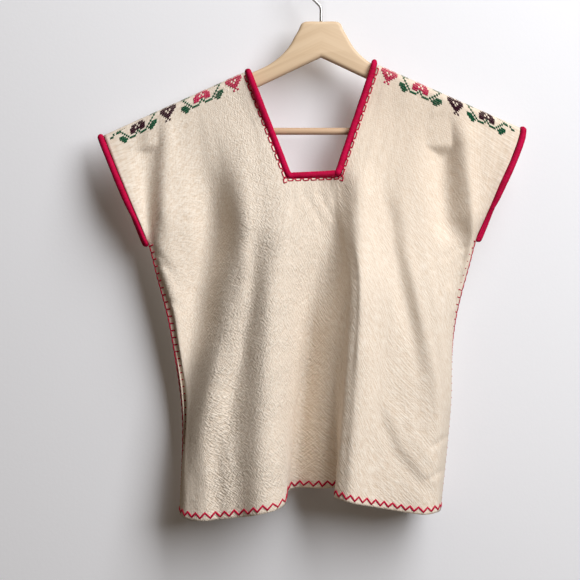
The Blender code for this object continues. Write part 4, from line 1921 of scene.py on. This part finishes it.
@dataclass
class Studio:
    """Wall, floor, lights and camera, in metres and watts."""

    wall_y: float = 0.043
    wall_size: float = 2.2
    floor_z: float = -1.15
    floor_size: float = 2.6
    camera_at: Place = (-0.0413, -1.6, -0.4311)
    lens: float = 74.5
    aim: Place = (-0.02, 0.0, -0.40)
    window_at: Place = (1.42, -1.84, 1.28)
    window_size: tuple[float, float] = (1.5, 3.4)
    window_power: float = 119.0
    window_colour: Colour = (1.0, 0.985, 0.965)
    rear_at: Place = (0.6, 1.9, 0.5)
    rear_size: tuple[float, float] = (1.4, 1.4)
    rear_power: float = 24.0
    rear_colour: Colour = (1.0, 0.99, 0.97)
    room_colour: Colour = (1.0, 0.80, 0.60)
    room_strength: float = 0.11

    def plane(
        self, name: str, size: float, finish: bpy.types.Material, upright: bool
    ) -> bpy.types.Object:
        """Set up one large flat sheet that isn't part of the object.

        Args:
            name: Its name.
            size: Half its width.
            finish: Its material.
            upright: Whether it is the wall; otherwise it is the floor.

        Returns:
            The sheet.
        """
        flat = bmesh.new()
        bmesh.ops.create_grid(flat, x_segments=8, y_segments=8, size=size)
        for vert in flat.verts:
            x, y, _ = vert.co
            vert.co = (x, self.wall_y, self.floor_z + y + size) if upright else (x, y, self.floor_z)
        mesh = bpy.data.meshes.new(name)
        flat.to_mesh(mesh)
        flat.free()
        mesh.materials.append(finish)
        item = bpy.data.objects.new(name, mesh)
        bpy.context.scene.collection.objects.link(item)
        return item

    def light(
        self, name: str, spot: Place, size: tuple[float, float], power: float, colour: Colour
    ) -> None:
        """Hang one soft light that faces the blouse.

        Args:
            name: Its name.
            spot: Its place.
            size: Its width and height.
            power: Its power.
            colour: Its colour.
        """
        lamp = bpy.data.lights.new(name, "AREA")
        lamp.shape = "RECTANGLE"
        lamp.size, lamp.size_y = size
        lamp.energy = power
        lamp.color = colour
        item = bpy.data.objects.new(name, lamp)
        item.location = spot
        item.rotation_euler = (Vector(self.aim) - Vector(spot)).to_track_quat("-Z", "Y").to_euler()
        bpy.context.scene.collection.objects.link(item)

    def build(self) -> None:
        """Set up the whole studio; its wall only shows, and takes and gives no light."""
        wall = self.plane("wall", self.wall_size, WALL.make(), True)
        wall.visible_shadow = False
        wall.visible_diffuse = False
        wall.visible_glossy = False
        wall.visible_transmission = False
        self.plane("floor", self.floor_size, FLOOR.make(), False).visible_diffuse = False
        window = (self.window_at, self.window_size, self.window_power, self.window_colour)
        self.light("window", *window)
        self.light("rear", self.rear_at, self.rear_size, self.rear_power, self.rear_colour)
        world = bpy.data.worlds.new("soft_room")
        world.use_nodes = True
        room = world.node_tree.nodes["Background"]
        room.inputs["Color"].default_value = (*self.room_colour, 1.0)
        room.inputs["Strength"].default_value = self.room_strength
        bpy.context.scene.world = world
        bpy.context.scene.view_settings.view_transform = "Standard"
        camera = bpy.data.objects.new("camera", bpy.data.cameras.new("camera"))
        camera.data.lens = self.lens
        camera.data.sensor_width = 36.0
        camera.location = self.camera_at
        camera.rotation_euler = (math.radians(90.0), 0.0, 0.0)
        bpy.context.scene.collection.objects.link(camera)
        bpy.context.scene.camera = camera


def main() -> None:
    """Build and dress every sub-assembly and set up the studio."""
    logging.basicConfig(level=logging.INFO, format="%(message)s")
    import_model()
    front = HangingCloth(FRONT_FOLDS, -1.0, (7, 14), FRONT_CREASES)
    back = HangingCloth(BACK_FOLDS, 1.0, (4, 8), BACK_CREASES)
    cotton = COTTON.make()
    crimson = CRIMSON.make()
    front_cloth = ClothHalf("front_cloth", "front", front).build(cotton)
    back_cloth = ClothHalf("back_cloth", "back", back, columns_per_fold=16).build(cotton)
    rolls = Bindings(front, back).build(CRIMSON_WRAP.make())
    threads = [FLOSS[thread].make() for thread in Thread]
    front_band = ShoulderBand(front).build("cross_stitch_front", threads)
    back_band = ShoulderBand(back).build("cross_stitch_back", threads)
    front_steps = NeckBorder(front).build("neck_steps_front", crimson)
    back_steps = NeckBorder(back).build("neck_steps_back", crimson)
    front_hem = HemStitch(front).build("hem_stitch_front", crimson)
    back_hem = HemStitch(back).build("hem_stitch_back", crimson)
    left_seam = SeamStitch(front, back, False).build("seam_stitch_left", crimson)
    right_seam = SeamStitch(front, back, True).build("seam_stitch_right", crimson)
    tufts = HemTufts(front).build("hem_tufts", cotton)
    hanger = Hanger()
    arms = hanger.arms(BEECH.make())
    hanger.bar(BAR_WOOD.make())
    hanger.hook(WIRE.make())
    Studio().build()


if __name__ == "__main__":
    main()
